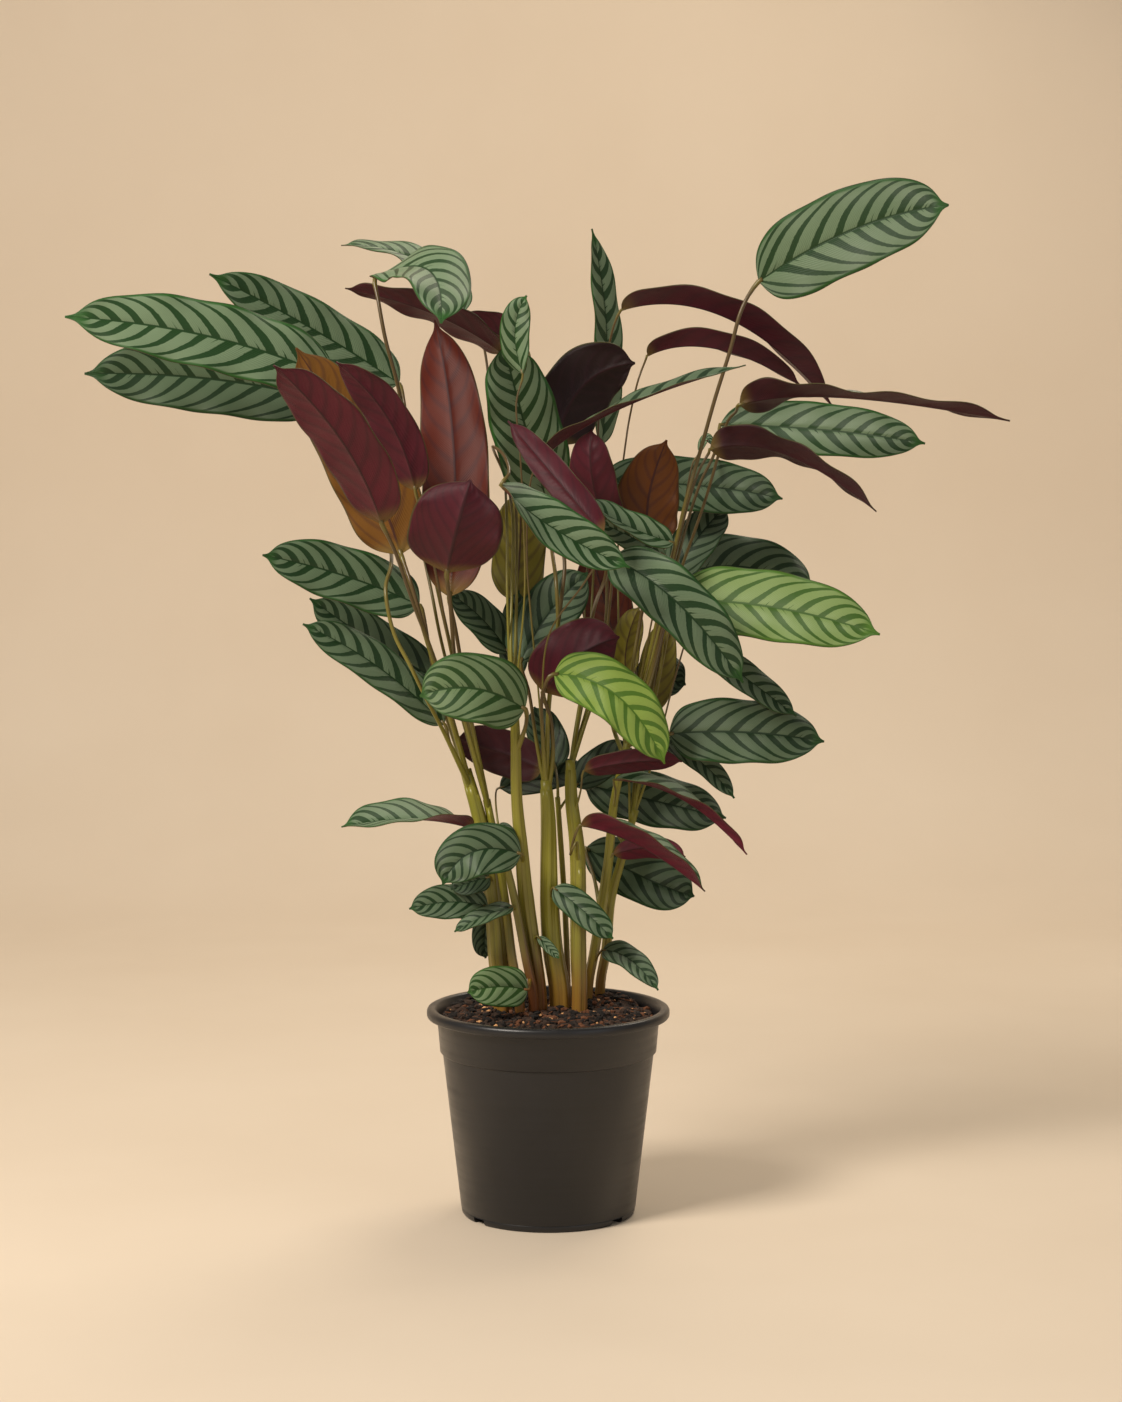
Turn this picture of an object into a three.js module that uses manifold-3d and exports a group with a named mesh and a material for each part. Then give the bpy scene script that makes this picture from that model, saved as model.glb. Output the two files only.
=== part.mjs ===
// A potted prayer plant: nine leafy shoots stand in the soil of a plain black nursery pot.
// Millimetres, +Z up. The origin is on the floor, under the middle of the pot, and the front is at -Y.
import * as THREE from 'three';
import { mergeVertices } from 'three/addons/utils/BufferGeometryUtils.js';
import Module from 'manifold-3d';

// Pot
const RIM_RADIUS = 105;
const RIM_TOP = 180;
const LIP_HEIGHT = 8;
const MOUTH_RADIUS = 97;
const COLLAR_RADIUS = 96;
const COLLAR_FOOT = 142;
const SHOULDER_RADIUS = 91.5;
const FOOT_RADIUS = 75;
const RING_HEIGHT = 6;
const WALL = 2;
const DRAIN_WIDTH = 14;
const DRAIN_HEIGHT = 5;
const DRAIN_ANGLES = [38, 142, 218, 322];

// Soil
const SOIL_TOP = 175;
const SOIL_EDGE = 169;
const SOIL_RADIUS = 92.4;
const SOIL_FLOOR = 3;
const SOIL_GAP = 0.6;
const ROUND = 32;
const HOLE_GAP = 0.8;
const HOLE_REACH = 60;
// Heaps on the soil: middle across and behind, spread across and behind, height.
const HEAPS = [[58, 62, 26, 22, 9], [-70, 40, 24, 26, 6]];
const ROOT_DEPTH = 138;
const SOIL_LINE = 190;

// Leaves and stalks
const BLADE_THICKNESS = 0.7;
const BLADE_GAP = 0.4;
const BLADE_ROOT = -1.5;
const CUP = 0.1;
const PULVINUS = 5;
const STALK_STEPS = 5;
const STALK_SIDES = 4;
const CANE_SIDES = 8;
// A stalk's radius is its leaf's width over STALK_SHARE, within these two radii, and it flares at the cane.
const STALK_SHARE = 30;
const THIN_STALK = 0.9;
const THICK_STALK = 2;
const STALK_FLARE = 1.3;
// Where stalks and cane meet, edges shorter than this are merged.
const SLIVER = 0.05;
const WIDE_LEAF = 50;
// Half-width of a blade along its length: a broad rounded base, nearly parallel sides, and a short drip tip.
const OUTLINE = [
  [0, 0.06], [0.04, 0.55], [0.14, 0.9], [0.34, 1], [0.6, 0.97], [0.8, 0.78], [0.93, 0.36], [1, 0.03],
];
const SMALL_OUTLINE = [[0, 0.06], [0.08, 0.7], [0.3, 1], [0.6, 0.93], [0.85, 0.52], [1, 0.03]];

// Leaves are set out on a front elevation: [across, up, back]. Across and up are read on the plane through
// the middle of the pot as the eye sees it from this point, and back is the depth behind that plane at the
// soil. The crown opens like a fan: towards the top each depth grows by FAN.
const EYE = new THREE.Vector3(11, -2500, 650);
const FAN = 2.5;
const FAN_FROM = 340;
const FAN_TO = 640;

function depth([, up, back]) {
  return back * THREE.MathUtils.lerp(1, FAN, THREE.MathUtils.smoothstep(up, FAN_FROM, FAN_TO));
}

function sight(place) {
  const [across, up] = place;
  return new THREE.Vector3(across, 0, up).sub(EYE).multiplyScalar((depth(place) - EYE.y) / -EYE.y).add(EYE);
}

// Each shoot has the place of its root, its cane as [across, up, back, radius], and its leaves.
// A leaf row holds: name, height where its stalk leaves the cane, points of the stalk from the blade down,
// base, middle and tip of the midrib, width, and the turn of the blade at base, middle and tip in degrees:
// 0 shows the eye its upper side, 90 its edge with the upper side up, and 180 its underside.
const SHOOTS = {
  shoot_1: {
    root: [-40, 5, 8],
    cane: [[-43, 221, 8, 8], [-48, 273, 10, 6.6], [-57, 334, 12, 6], [-71, 386, 14, 5]],
    leaves: [
      ['leaf_01', 380, [[-160, 670, 8], [-138, 610, 4], [-121, 553, -14], [-108, 510, -12]], [-187, 722, 2],
        [-290, 756, -12], [-410, 772, -22], 62, [25, 22, 20]],
      ['leaf_03', 370, [[-160, 640, 20], [-138, 585, 12], [-134, 562, -12], [-139, 540, -26],
        [-132, 503, -32], [-118, 475, -38], [-106, 450, -36], [-88, 415, -14]], [-195, 703, 30],
        [-290, 720, 25], [-394, 724, 15], 62, [15, 15, 12]],
      ['leaf_04', 384, [[-132, 576, -62], [-114, 525, -48], [-97, 480, -30], [-82, 425, -6]],
        [-143, 600, -65], [-176, 668, -90], [-233, 731, -115], 54, [160, 155, 150]],
      ['leaf_05', 376, [[-117, 545, -26], [-104, 500, -24], [-92, 465, -14]], [-127, 575, -18],
        [-160, 655, -22], [-214, 746, -30], 70, [165, 165, 165]],
      ['leaf_37', 372, [[-100, 480, 0], [-90, 440, 4]], [-114, 529, -2], [-176, 553, -10], [-244, 570, -20],
        52, [25, 22, 18]],
      ['leaf_38', 366, [[-90, 440, 12]], [-98, 465, 20], [-150, 496, 18], [-204, 533, 12], 42,
        [15, 15, 15]],
      ['leaf_39', 362, [[-84, 408, 0]], [-92, 428, -4], [-148, 476, -10], [-210, 511, -14], 40,
        [40, 30, 20]],
      ['leaf_45', 315, [[-62, 330, 2]], [-68, 336, -6], [-118, 343, -14], [-178, 336, -22], 44,
        [110, 65, 60]],
      ['leaf_47', 280, [], [-54, 292, 0], [-68, 288, -6], [-84, 282, -10], 24, [20, 20, 20]],
      ['leaf_48', 256, [], [-56, 268, -1], [-86, 271, -10], [-120, 265, -16], 32, [20, 20, 20]],
      ['leaf_50', 264, [[-52, 268, 22]], [-52, 258, 24], [-55, 240, 25], [-54, 222, 25], 22, [10, 10, 10]],
    ],
  },
  shoot_2: {
    root: [-25, -10, 4],
    cane: [[-31, 221, -4, 3.8], [-37, 273, 4, 3.4], [-44, 316, 10, 3.2], [-53, 360, 16, 3.4]],
    leaves: [
      ['leaf_06', 350, [[-107, 600, -38], [-95, 550, -30], [-84, 490, -18]], [-114, 629, -40],
        [-137, 688, -50], [-180, 734, -60], 38, [165, 160, 140]],
      ['leaf_07', 356, [[-79, 505, -10], [-70, 450, -2]], [-84, 539, -12], [-80, 655, 0], [-96, 769, 8], 58,
        [170, 170, 170]],
      ['leaf_08', 345, [[-144, 786, 8], [-138, 753, 6], [-128, 715, 8], [-116, 650, 18], [-105, 590, 18],
        [-90, 520, 14]], [-143, 806, 10], [-101, 811, -8], [-91, 766, -30], 64, [100, 42, 10]],
      ['leaf_09', 358, [[-84, 530, -45], [-76, 450, -20]], [-86, 558, -54], [-77, 596, -60],
        [-66, 634, -56], 80, [175, 175, 175]],
      ['leaf_02', 352, [[-118, 660, 48], [-112, 600, 35], [-100, 540, 22], [-90, 490, 18]], [-130, 718, 55],
        [-200, 762, 45], [-287, 808, 28], 50, [30, 25, 20]],
    ],
  },
  shoot_3: {
    root: [-13, -5, 4.2],
    cane: [[-19, 221, -8, 4], [-29, 273, -8, 3.5], [-39, 316, -8, 3]],
    leaves: [
      ['leaf_43', 312, [[-45, 366, 22], [-44, 345, 0]], [-38, 371, 40], [0, 380, 56], [34, 388, 56], 28,
        [25, 25, 25]],
      ['leaf_49', 262, [], [-34, 266, -15], [-58, 258, -24], [-81, 245, -30], 22, [50, 50, 50]],
      ['leaf_51', 205, [], [-21, 195, -22], [-45, 197, -38], [-70, 192, -50], 36, [12, 10, 8]],
      ['leaf_73', 310, [], [-40, 336, -15], [-34, 332, -16], [-27, 320, -16], 10, [20, 20, 20]],
    ],
  },
  shoot_4: {
    root: [-7, 5, 5],
    cane: [[-11, 221, 2, 5.5], [-19, 273, 0, 6.6], [-23, 316, -5, 5.5], [-27, 360, -14, 4.4],
      [-28, 411, -20, 3.8], [-29, 440, -14, 3.2]],
    leaves: [
      ['leaf_10', 430, [[-66, 768, 48], [-56, 752, 52], [-48, 700, 46], [-38, 650, 28], [-36, 620, 14],
        [-35, 590, 4], [-35, 540, -4], [-33, 480, -8]], [-74, 779, 47], [-112, 820, 52], [-175, 832, 44],
        40, [20, 60, 80]],
      ['leaf_11', 434, [[-34, 700, 30], [-30, 650, 24], [-27, 600, 14], [-27, 540, 4], [-28, 480, -4]],
        [-42, 744, 26], [-100, 776, 26], [-172, 796, 28], 46, [120, 118, 115]],
      ['leaf_12', 436, [[-16, 700, 66], [-14, 640, 58], [-12, 560, 50], [-18, 490, 34]], [-20, 745, 72],
        [-48, 760, 75], [-79, 765, 70], 36, [150, 150, 150]],
      ['leaf_14', 438, [[-27, 700, -16], [-24, 660, -16], [-21, 600, -16], [-20, 540, -18],
        [-25, 480, -18]], [-23, 728, -16], [-28, 762, -18], [-18, 790, -20], 26, [60, 10, 30]],
      ['leaf_22', 432, [[-34, 638, -60], [-36, 652, -46], [-46, 662, -12], [-45, 656, 18], [-36, 635, 24],
        [-30, 600, 12], [-31, 540, 2], [-32, 490, -8]], [-37, 626, -62], [6, 592, -60], [70, 559, -62], 44,
        [85, 28, 25]],
      ['leaf_40', 400, [[-19, 425, -30]], [-23, 440, -38], [-66, 456, -50], [-110, 449, -54], 62,
        [20, 15, 10]],
      ['leaf_46', 303, [], [-27, 314, -20], [-66, 314, -38], [-91, 286, -42], 46, [20, 10, 5]],
      ['leaf_54', 236, [], [-6, 238, -7], [1, 231, -8], [9, 222, -9], 10, [20, 20, 20]],
      ['leaf_70', 433, [[-34, 465, 6]], [-36, 490, 15], [-58, 517, 12], [-84, 537, 10], 32, [20, 20, 20]],
      ['leaf_72', 436, [[-28, 500, 30]], [-28, 534, 32], [-24, 580, 38], [-24, 625, 42], 46,
        [170, 170, 170]],
      ['leaf_74', 437, [], [-28, 466, 16], [-29, 503, 27], [-25, 540, 27], 26, [15, 15, 15]],
    ],
  },
  shoot_5: {
    root: [10, 16, 8.5],
    cane: [[4, 229, 15, 8.2], [1, 273, 13, 7.8], [0, 342, 10, 6], [-2, 377, 8, 4.6]],
    leaves: [
      ['leaf_13', 372, [[3, 603, 20], [14, 565, 2], [11, 530, -2], [6, 490, -3], [0, 430, 2]], [0, 612, 22],
        [-21, 685, 4], [-38, 750, -6], 62, [15, 15, 15]],
      ['leaf_16', 374, [[5, 650, 36], [3, 615, 34], [3, 578, 12], [7, 545, -4], [8, 505, -4], [1, 450, -2]],
        [8, 668, 36], [31, 715, 40], [74, 733, 42], 62, [160, 160, 155]],
      ['leaf_17', 376, [[-13, 640, -8], [-17, 615, -8], [-18, 565, -8], [-14, 510, -8], [-9, 460, -5]],
        [-2, 656, -10], [66, 697, -20], [168, 731, -26], 24, [125, 80, 70]],
      ['leaf_19', 374, [[45, 570, -38], [30, 545, -32], [2, 505, -26], [-5, 450, -10]], [44, 592, -44],
        [6, 637, -38], [-34, 684, -28], 28, [165, 165, 160]],
      ['leaf_42', 350, [[-4, 376, 14]], [-8, 388, 20], [-44, 402, 30], [-79, 413, 32], 40, [170, 168, 165]],
      ['leaf_52', 264, [], [8, 281, -3], [32, 262, -11], [56, 239, -15], 26, [15, 15, 15]],
      ['leaf_61', 368, [[1, 466, -22], [-5, 450, -16], [-5, 420, -6]], [9, 468, -22], [61, 448, -36],
        [100, 391, -36], 50, [15, 15, 15]],
      ['leaf_68', 362, [[2, 430, 0], [4, 400, 4]], [-2, 456, -8], [26, 484, -12], [61, 500, -6], 60,
        [170, 175, 175]],
      ['leaf_69', 366, [[-17, 455, 2], [-10, 410, 6]], [-22, 482, 4], [2, 522, 12], [34, 555, 14], 50,
        [15, 15, 15]],
    ],
  },
  shoot_6: {
    root: [17, 30, 2.6],
    cane: [[16, 229, 28, 2.6], [14, 273, 26, 2.5], [8, 362, 24, 2.3]],
    leaves: [
      ['leaf_44', 356, [[8, 375, 28]], [5, 392, 42], [-2, 415, 44], [-12, 440, 42], 34, [15, 15, 15]],
      ['leaf_75', 350, [[18, 364, 32]], [26, 374, 36], [50, 394, 38], [72, 404, 38], 30, [15, 15, 15]],
    ],
  },
  shoot_7: {
    root: [27, 5, 6.5],
    cane: [[26, 229, 6, 6.5], [25, 316, 8, 6], [20, 360, 10, 5], [19, 394, 12, 4]],
    leaves: [
      ['leaf_15', 388, [[44, 650, 68], [38, 600, 50], [32, 540, 46], [30, 470, 40], [24, 420, 24]],
        [46, 668, 72], [50, 757, 74], [37, 846, 70], 32, [45, 45, 45]],
      ['leaf_20', 386, [[55, 560, 4], [52, 520, 12], [46, 470, 20], [30, 420, 16]], [52, 589, -2],
        [38, 634, -12], [37, 677, -16], 40, [170, 168, 165]],
      ['leaf_25', 385, [[48, 548, -12], [38, 518, 24], [30, 460, 30], [24, 420, 20]], [58, 566, -28],
        [114, 526, -44], [167, 461, -50], 54, [25, 20, 15]],
      ['leaf_28', 390, [[46, 610, 30], [50, 560, 36], [48, 500, 38], [34, 440, 32]], [50, 632, 34],
        [130, 629, 36], [200, 618, 34], 48, [15, 15, 12]],
      ['leaf_31', 392, [[56, 765, 42], [50, 738, 46], [44, 700, 54], [42, 660, 50], [40, 600, 42],
        [38, 540, 42], [32, 460, 36]], [66, 779, 40], [155, 770, 32], [242, 696, 56], 36, [95, 112, 150]],
      ['leaf_57', 303, [[19, 312, -8], [24, 324, -12]], [32, 337, -12], [83, 318, -22], [135, 280, -26], 38,
        [100, 84, 85]],
      ['leaf_60', 345, [[28, 368, 0]], [35, 386, -4], [75, 393, -12], [115, 393, -14], 24, [145, 145, 145]],
    ],
  },
  shoot_8: {
    root: [35, 43, 4],
    cane: [[40, 229, 40, 4], [47, 273, 38, 4], [52, 308, 34, 3.8], [57, 360, 28, 3.4], [69, 411, 20, 3]],
    leaves: [
      ['leaf_21', 405, [[88, 565, 6], [80, 520, 10], [72, 470, 10]], [90, 577, 4], [85, 615, 0],
        [101, 668, -2], 56, [170, 165, 165]],
      ['leaf_23', 407, [[106, 570, -14], [96, 520, -4], [84, 470, 6]], [103, 582, -18], [66, 596, -22],
        [28, 619, -25], 27, [25, 45, 75]],
      ['leaf_24', 404, [[94, 540, -2], [82, 480, 6]], [96, 572, -8], [70, 586, -12], [44, 598, -16], 26,
        [20, 20, 20]],
      ['leaf_26', 408, [[100, 515, -2], [90, 475, 4]], [112, 531, -8], [195, 525, -18], [284, 502, -28], 64,
        [25, 22, 18]],
      ['leaf_29', 402, [[102, 530, 40], [90, 470, 34]], [108, 552, 44], [128, 585, 46], [152, 612, 48], 38,
        [20, 20, 20]],
      ['leaf_30', 409, [[170, 790, -4], [163, 775, -5], [155, 745, -4], [142, 703, -2], [130, 660, 0],
        [118, 618, 0], [109, 580, 2], [100, 545, 3], [88, 490, 8]], [182, 804, -4], [260, 846, -25],
        [339, 866, -40], 72, [15, 15, 15]],
      ['leaf_32', 400, [[83, 736, 22], [77, 720, 18], [70, 690, 26], [66, 665, 42], [63, 640, 50],
        [60, 590, 52], [60, 520, 46], [62, 450, 30]], [88, 741, 24], [145, 745, 22], [216, 713, 38], 30,
        [100, 122, 125]],
      ['leaf_34', 406, [[146, 672, 40], [141, 655, 34], [130, 632, 24], [118, 595, 14], [104, 540, 12],
        [86, 470, 14]], [151, 681, 42], [240, 676, 36], [321, 665, 28], 46, [15, 15, 12]],
      ['leaf_35', 403, [[137, 657, 6], [130, 645, 6], [121, 620, 6], [111, 580, 10], [98, 520, 14],
        [82, 460, 16]], [142, 661, 8], [205, 655, -2], [280, 607, -14], 40, [170, 114, 118]],
      ['leaf_36', 401, [[124, 650, 12], [114, 600, 12], [100, 540, 18]], [130, 661, 12], [135, 670, 12],
        [140, 663, 12], 8, [30, 30, 30]],
      ['leaf_53', 215, [[44, 226, 34]], [50, 229, 26], [72, 220, 8], [95, 194, -8], 24, [30, 30, 30]],
      ['leaf_55', 262, [[40, 290, 52]], [36, 316, 74], [88, 290, 68], [126, 276, 56], 48, [15, 15, 15]],
      ['leaf_56', 292, [], [60, 314, 30], [92, 318, 27], [118, 310, 22], 20, [160, 160, 160]],
      ['leaf_59', 352, [[58, 368, 12]], [61, 377, 2], [118, 359, -12], [171, 312, -20], 26, [70, 80, 125]],
      ['leaf_62', 407, [[88, 414, 10]], [108, 417, -2], [170, 418, -8], [237, 410, -12], 58, [18, 18, 18]],
      ['leaf_63', 398, [[88, 410, 18]], [103, 409, 14], [133, 391, 8], [160, 361, 2], 21, [25, 25, 25]],
      ['leaf_71', 396, [[55, 480, 52], [54, 430, 40]], [55, 505, 58], [46, 540, 58], [36, 575, 58], 46,
        [165, 165, 165]],
    ],
  },
  shoot_9: {
    root: [46, 60, 4],
    cane: [[50, 229, 58, 4], [54, 273, 56, 4], [63, 308, 54, 3.6], [75, 351, 52, 3.2]],
    leaves: [
      ['leaf_27', 346, [[108, 540, 60], [95, 490, 54]], [112, 552, 64], [165, 560, 66], [228, 540, 58], 56,
        [25, 22, 20]],
      ['leaf_33', 345, [[160, 692, 14], [153, 684, 20], [145, 655, 20], [135, 620, 24], [125, 590, 30],
        [113, 555, 34], [98, 480, 42]], [167, 699, 8], [255, 704, 2], [393, 684, -6], 46, [155, 93, 125]],
      ['leaf_58', 320, [[48, 350, 70]], [36, 372, 74], [95, 358, 74], [153, 344, 62], 50, [25, 25, 25]],
      ['leaf_64', 343, [[110, 470, 40], [92, 400, 48]], [125, 497, 10], [168, 466, -4], [213, 432, -16], 28,
        [25, 25, 25]],
      ['leaf_65', 340, [[78, 440, 64]], [80, 474, 72], [98, 466, 72], [118, 459, 70], 42, [20, 20, 20]],
      ['leaf_66', 342, [[80, 410, 54]], [86, 440, 58], [94, 475, 58], [100, 515, 58], 32, [170, 170, 170]],
      ['leaf_67', 335, [[68, 430, 42]], [66, 470, 26], [68, 498, 26], [78, 526, 28], 26, [165, 165, 165]],
    ],
  },
};

// Leaves folded along the midrib: how far their margins rise, as a share of the half-width.
const FOLDED = {
  leaf_04: 0.12, leaf_09: 0.1, leaf_17: 0.3, leaf_22: 0.2, leaf_23: 0.3, leaf_31: 0.6, leaf_32: 0.5,
  leaf_33: 0.15, leaf_35: 0.15, leaf_45: 0.3, leaf_57: 0.6, leaf_59: 0.4,
};

// Small leaves that stay in one piece with their shoot.
const SMALL = new Set([
  'leaf_12', 'leaf_23', 'leaf_24', 'leaf_36', 'leaf_43', 'leaf_44', 'leaf_47',
  'leaf_48', 'leaf_49', 'leaf_50', 'leaf_51', 'leaf_52', 'leaf_53', 'leaf_54', 'leaf_56',
  'leaf_59', 'leaf_60', 'leaf_63', 'leaf_65', 'leaf_66', 'leaf_67', 'leaf_70', 'leaf_73',
  'leaf_74', 'leaf_75',
]);

const wasm = await Module();
wasm.setup();

function solid(geometry) {
  const bare = geometry.clone();
  bare.deleteAttribute('normal');
  bare.deleteAttribute('uv');
  const merged = mergeVertices(bare, 1e-4);
  return new wasm.Manifold(new wasm.Mesh({
    numProp: 3,
    vertProperties: merged.attributes.position.array,
    triVerts: new Uint32Array(merged.index.array),
  }));
}

function surface(body) {
  const mesh = body.getMesh();
  const geometry = new THREE.BufferGeometry();
  geometry.setAttribute('position', new THREE.BufferAttribute(mesh.vertProperties, 3));
  geometry.setIndex(new THREE.BufferAttribute(mesh.triVerts, 1));
  geometry.computeVertexNormals();
  return geometry;
}

function skin(points, triangles) {
  const geometry = new THREE.BufferGeometry();
  geometry.setAttribute('position', new THREE.Float32BufferAttribute(points.flatMap((p) => p.toArray()), 3));
  geometry.setIndex(triangles.flat());
  geometry.computeVertexNormals();
  return geometry;
}

// A round stalk through the points, with a radius at each, closed flat at both ends.
function stalk(points, radii, sides) {
  const rings = [];
  const aims = points.map((p, i) => points[Math.min(i + 1, points.length - 1)].clone()
    .sub(points[Math.max(i - 1, 0)]).normalize());
  const side = new THREE.Vector3(0, 1, 0).cross(aims[0]).normalize();
  points.forEach((centre, i) => {
    side.addScaledVector(aims[i], -side.dot(aims[i])).normalize();
    const other = aims[i].clone().cross(side);
    for (let k = 0; k < sides; k++) {
      const a = (k / sides) * 2 * Math.PI;
      rings.push(centre.clone().addScaledVector(side, radii[i] * Math.cos(a))
        .addScaledVector(other, radii[i] * Math.sin(a)));
    }
  });
  const triangles = [];
  const last = (points.length - 1) * sides;
  for (let i = 0; i < last; i += sides) {
    for (let k = 0; k < sides; k++) {
      const next = (k + 1) % sides;
      triangles.push([i + k, i + next, i + sides + next], [i + k, i + sides + next, i + sides + k]);
    }
  }
  for (let k = 1; k < sides - 1; k++) {
    triangles.push([0, k + 1, k], [last, last + k, last + k + 1]);
  }
  return skin(rings, triangles);
}

// The quadratic curve that passes through its middle point halfway along.
function bow(base, middle, tip) {
  const control = middle.clone().multiplyScalar(2).addScaledVector(base, -0.5).addScaledVector(tip, -0.5);
  return new THREE.QuadraticBezierCurve3(base, control, tip);
}

function midrib(row) {
  const [, , , base, middle, tip] = row;
  return bow(sight(base), sight(middle), sight(tip));
}

// A blade 0.7 mm thick over its midrib, both faces split into the same triangles.
function blade(row, start) {
  const [name, , , base, , tip, width, turn] = row;
  const rib = midrib(row);
  const way = tip[0] < base[0] ? -1 : 1;
  const first = rib.getTangent(0).multiplyScalar(start);
  const cells = width < WIDE_LEAF ? 2 : 4;
  const fold = FOLDED[name] || 0;
  const upper = [];
  const lower = [];
  for (const [t, share] of SMALL.has(name) ? SMALL_OUTLINE : OUTLINE) {
    const centre = rib.getPoint(t).addScaledVector(first, 1 - t);
    const along = rib.getTangent(t);
    const flat = along.clone().cross(EYE.clone().sub(centre)).normalize();
    const facing = flat.clone().cross(along);
    const [a, b, c] = turn;
    const degrees = a * (1 - t) * (1 - 2 * t) + 4 * b * t * (1 - t) + c * t * (2 * t - 1);
    const roll = THREE.MathUtils.degToRad(degrees);
    const across = flat.clone().multiplyScalar(Math.cos(roll)).addScaledVector(facing, way * Math.sin(roll));
    const normal = across.clone().cross(along);
    const half = Math.max(0.5 * width * share, 0.9) * (centre.y - EYE.y) / -EYE.y;
    for (let j = 0; j <= cells; j++) {
      const x = (2 * j) / cells - 1;
      const point = centre.clone().addScaledVector(across, half * x)
        .addScaledVector(normal, half * (CUP * x * x + fold * Math.abs(x)));
      upper.push(point.clone().addScaledVector(normal, BLADE_THICKNESS / 2));
      lower.push(point.addScaledVector(normal, -BLADE_THICKNESS / 2));
    }
  }
  const count = upper.length;
  const step = cells + 1;
  const end = count - step;
  const triangles = [];
  for (let i = 0; i < end; i += step) {
    for (let j = i; j < i + cells; j++) {
      const [a, b, c, d] = [j, j + 1, j + 1 + step, j + step];
      triangles.push([a, b, c], [a, c, d]);
      triangles.push([a + count, c + count, b + count], [a + count, d + count, c + count]);
    }
    const [left, right] = [i, i + cells];
    triangles.push([left, left + step, left + step + count], [left, left + step + count, left + count]);
    triangles.push([right, right + step + count, right + step], [right, right + count, right + step + count]);
  }
  for (let j = 0; j < cells; j++) {
    triangles.push([j, j + count, j + 1 + count], [j, j + 1 + count, j + 1]);
    const k = end + j;
    triangles.push([k, k + 1, k + 1 + count], [k, k + 1 + count, k + count]);
  }
  return skin([...upper, ...lower], triangles);
}

// The point of a cane at a height on the elevation.
function onCane(cane, height) {
  const i = Math.max(1, cane.findIndex((p) => p[1] >= height));
  const [low, high] = [cane[i - 1], cane[i]];
  const share = (height - low[1]) / (high[1] - low[1]);
  return sight([0, 1, 2].map((n) => THREE.MathUtils.lerp(low[n], high[n], share)));
}

function petiole(row, cane) {
  const [, height, way, base, , , width] = row;
  const end = sight(base);
  const knee = end.clone().addScaledVector(midrib(row).getTangent(0), -PULVINUS);
  const route = new THREE.CatmullRomCurve3(
    [onCane(cane, height), ...way.map(sight).reverse(), knee, end], false, 'centripetal');
  const steps = Math.max(STALK_STEPS, way.length + 2) - (SMALL.has(row[0]) ? 1 : 0);
  const radius = THREE.MathUtils.clamp(width / STALK_SHARE, THIN_STALK, THICK_STALK);
  const points = route.getSpacedPoints(steps);
  points.splice(-1, 1, knee, end);
  const radii = points.map((_, i) => (i === 0 ? radius * STALK_FLARE : radius));
  return stalk(points, radii, STALK_SIDES);
}

const LEAF_GREEN = new THREE.MeshStandardMaterial({ color: 0x55704a, roughness: 0.45 });
const LEAF_CRIMSON = new THREE.MeshStandardMaterial({ color: 0x5f2233, roughness: 0.5 });
const CANE_GREEN = new THREE.MeshStandardMaterial({ color: 0x918c3c, roughness: 0.5 });
const SOIL_BROWN = new THREE.MeshStandardMaterial({ color: 0x2a201b, roughness: 0.95 });
const POT_BLACK = new THREE.MeshStandardMaterial({ color: 0x373434, roughness: 0.45 });

const plant = new THREE.Group();

function add(name, geometry, material) {
  const mesh = new THREE.Mesh(geometry, material);
  mesh.name = name;
  plant.add(mesh);
}

const canes = [];
for (const [name, { root: [x, y, radius], cane, leaves }] of Object.entries(SHOOTS)) {
  const foot = [ROOT_DEPTH, SOIL_LINE].map((z) => new THREE.Vector3(x, y, z));
  const points = [...foot, ...cane.map(sight)];
  const radii = [radius, radius, ...cane.map((p) => p[3])];
  let shoot = solid(stalk(points, radii, CANE_SIDES));
  for (const row of leaves) {
    shoot = shoot.add(solid(petiole(row, cane)));
    if (SMALL.has(row[0])) {
      shoot = shoot.add(solid(blade(row, BLADE_ROOT)));
    } else {
      add(row[0], blade(row, BLADE_GAP), row[7][1] > 100 ? LEAF_CRIMSON : LEAF_GREEN);
    }
  }
  canes.push([x, y, radius]);
  add(name, surface(shoot.simplify(SLIVER)), CANE_GREEN);
}

// Soil: a plug that fills the pot, heaped towards the back, with a plain hole for each shoot.
function soilHeight(radius, angle) {
  const x = radius * Math.cos(angle);
  const y = radius * Math.sin(angle);
  const fall = (radius / SOIL_RADIUS) ** 4 * (SOIL_TOP - SOIL_EDGE);
  const heap = HEAPS.reduce((sum, [across, behind, wide, deep, high]) => (
    sum + high * Math.exp(-(((x - across) / wide) ** 2) - ((y - behind) / deep) ** 2)), 0);
  const lumps = 1.6 * Math.sin(0.11 * x + 0.7) * Math.cos(0.13 * y) + Math.sin(0.23 * x - 0.19 * y);
  return SOIL_TOP - fall + heap + lumps;
}

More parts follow.
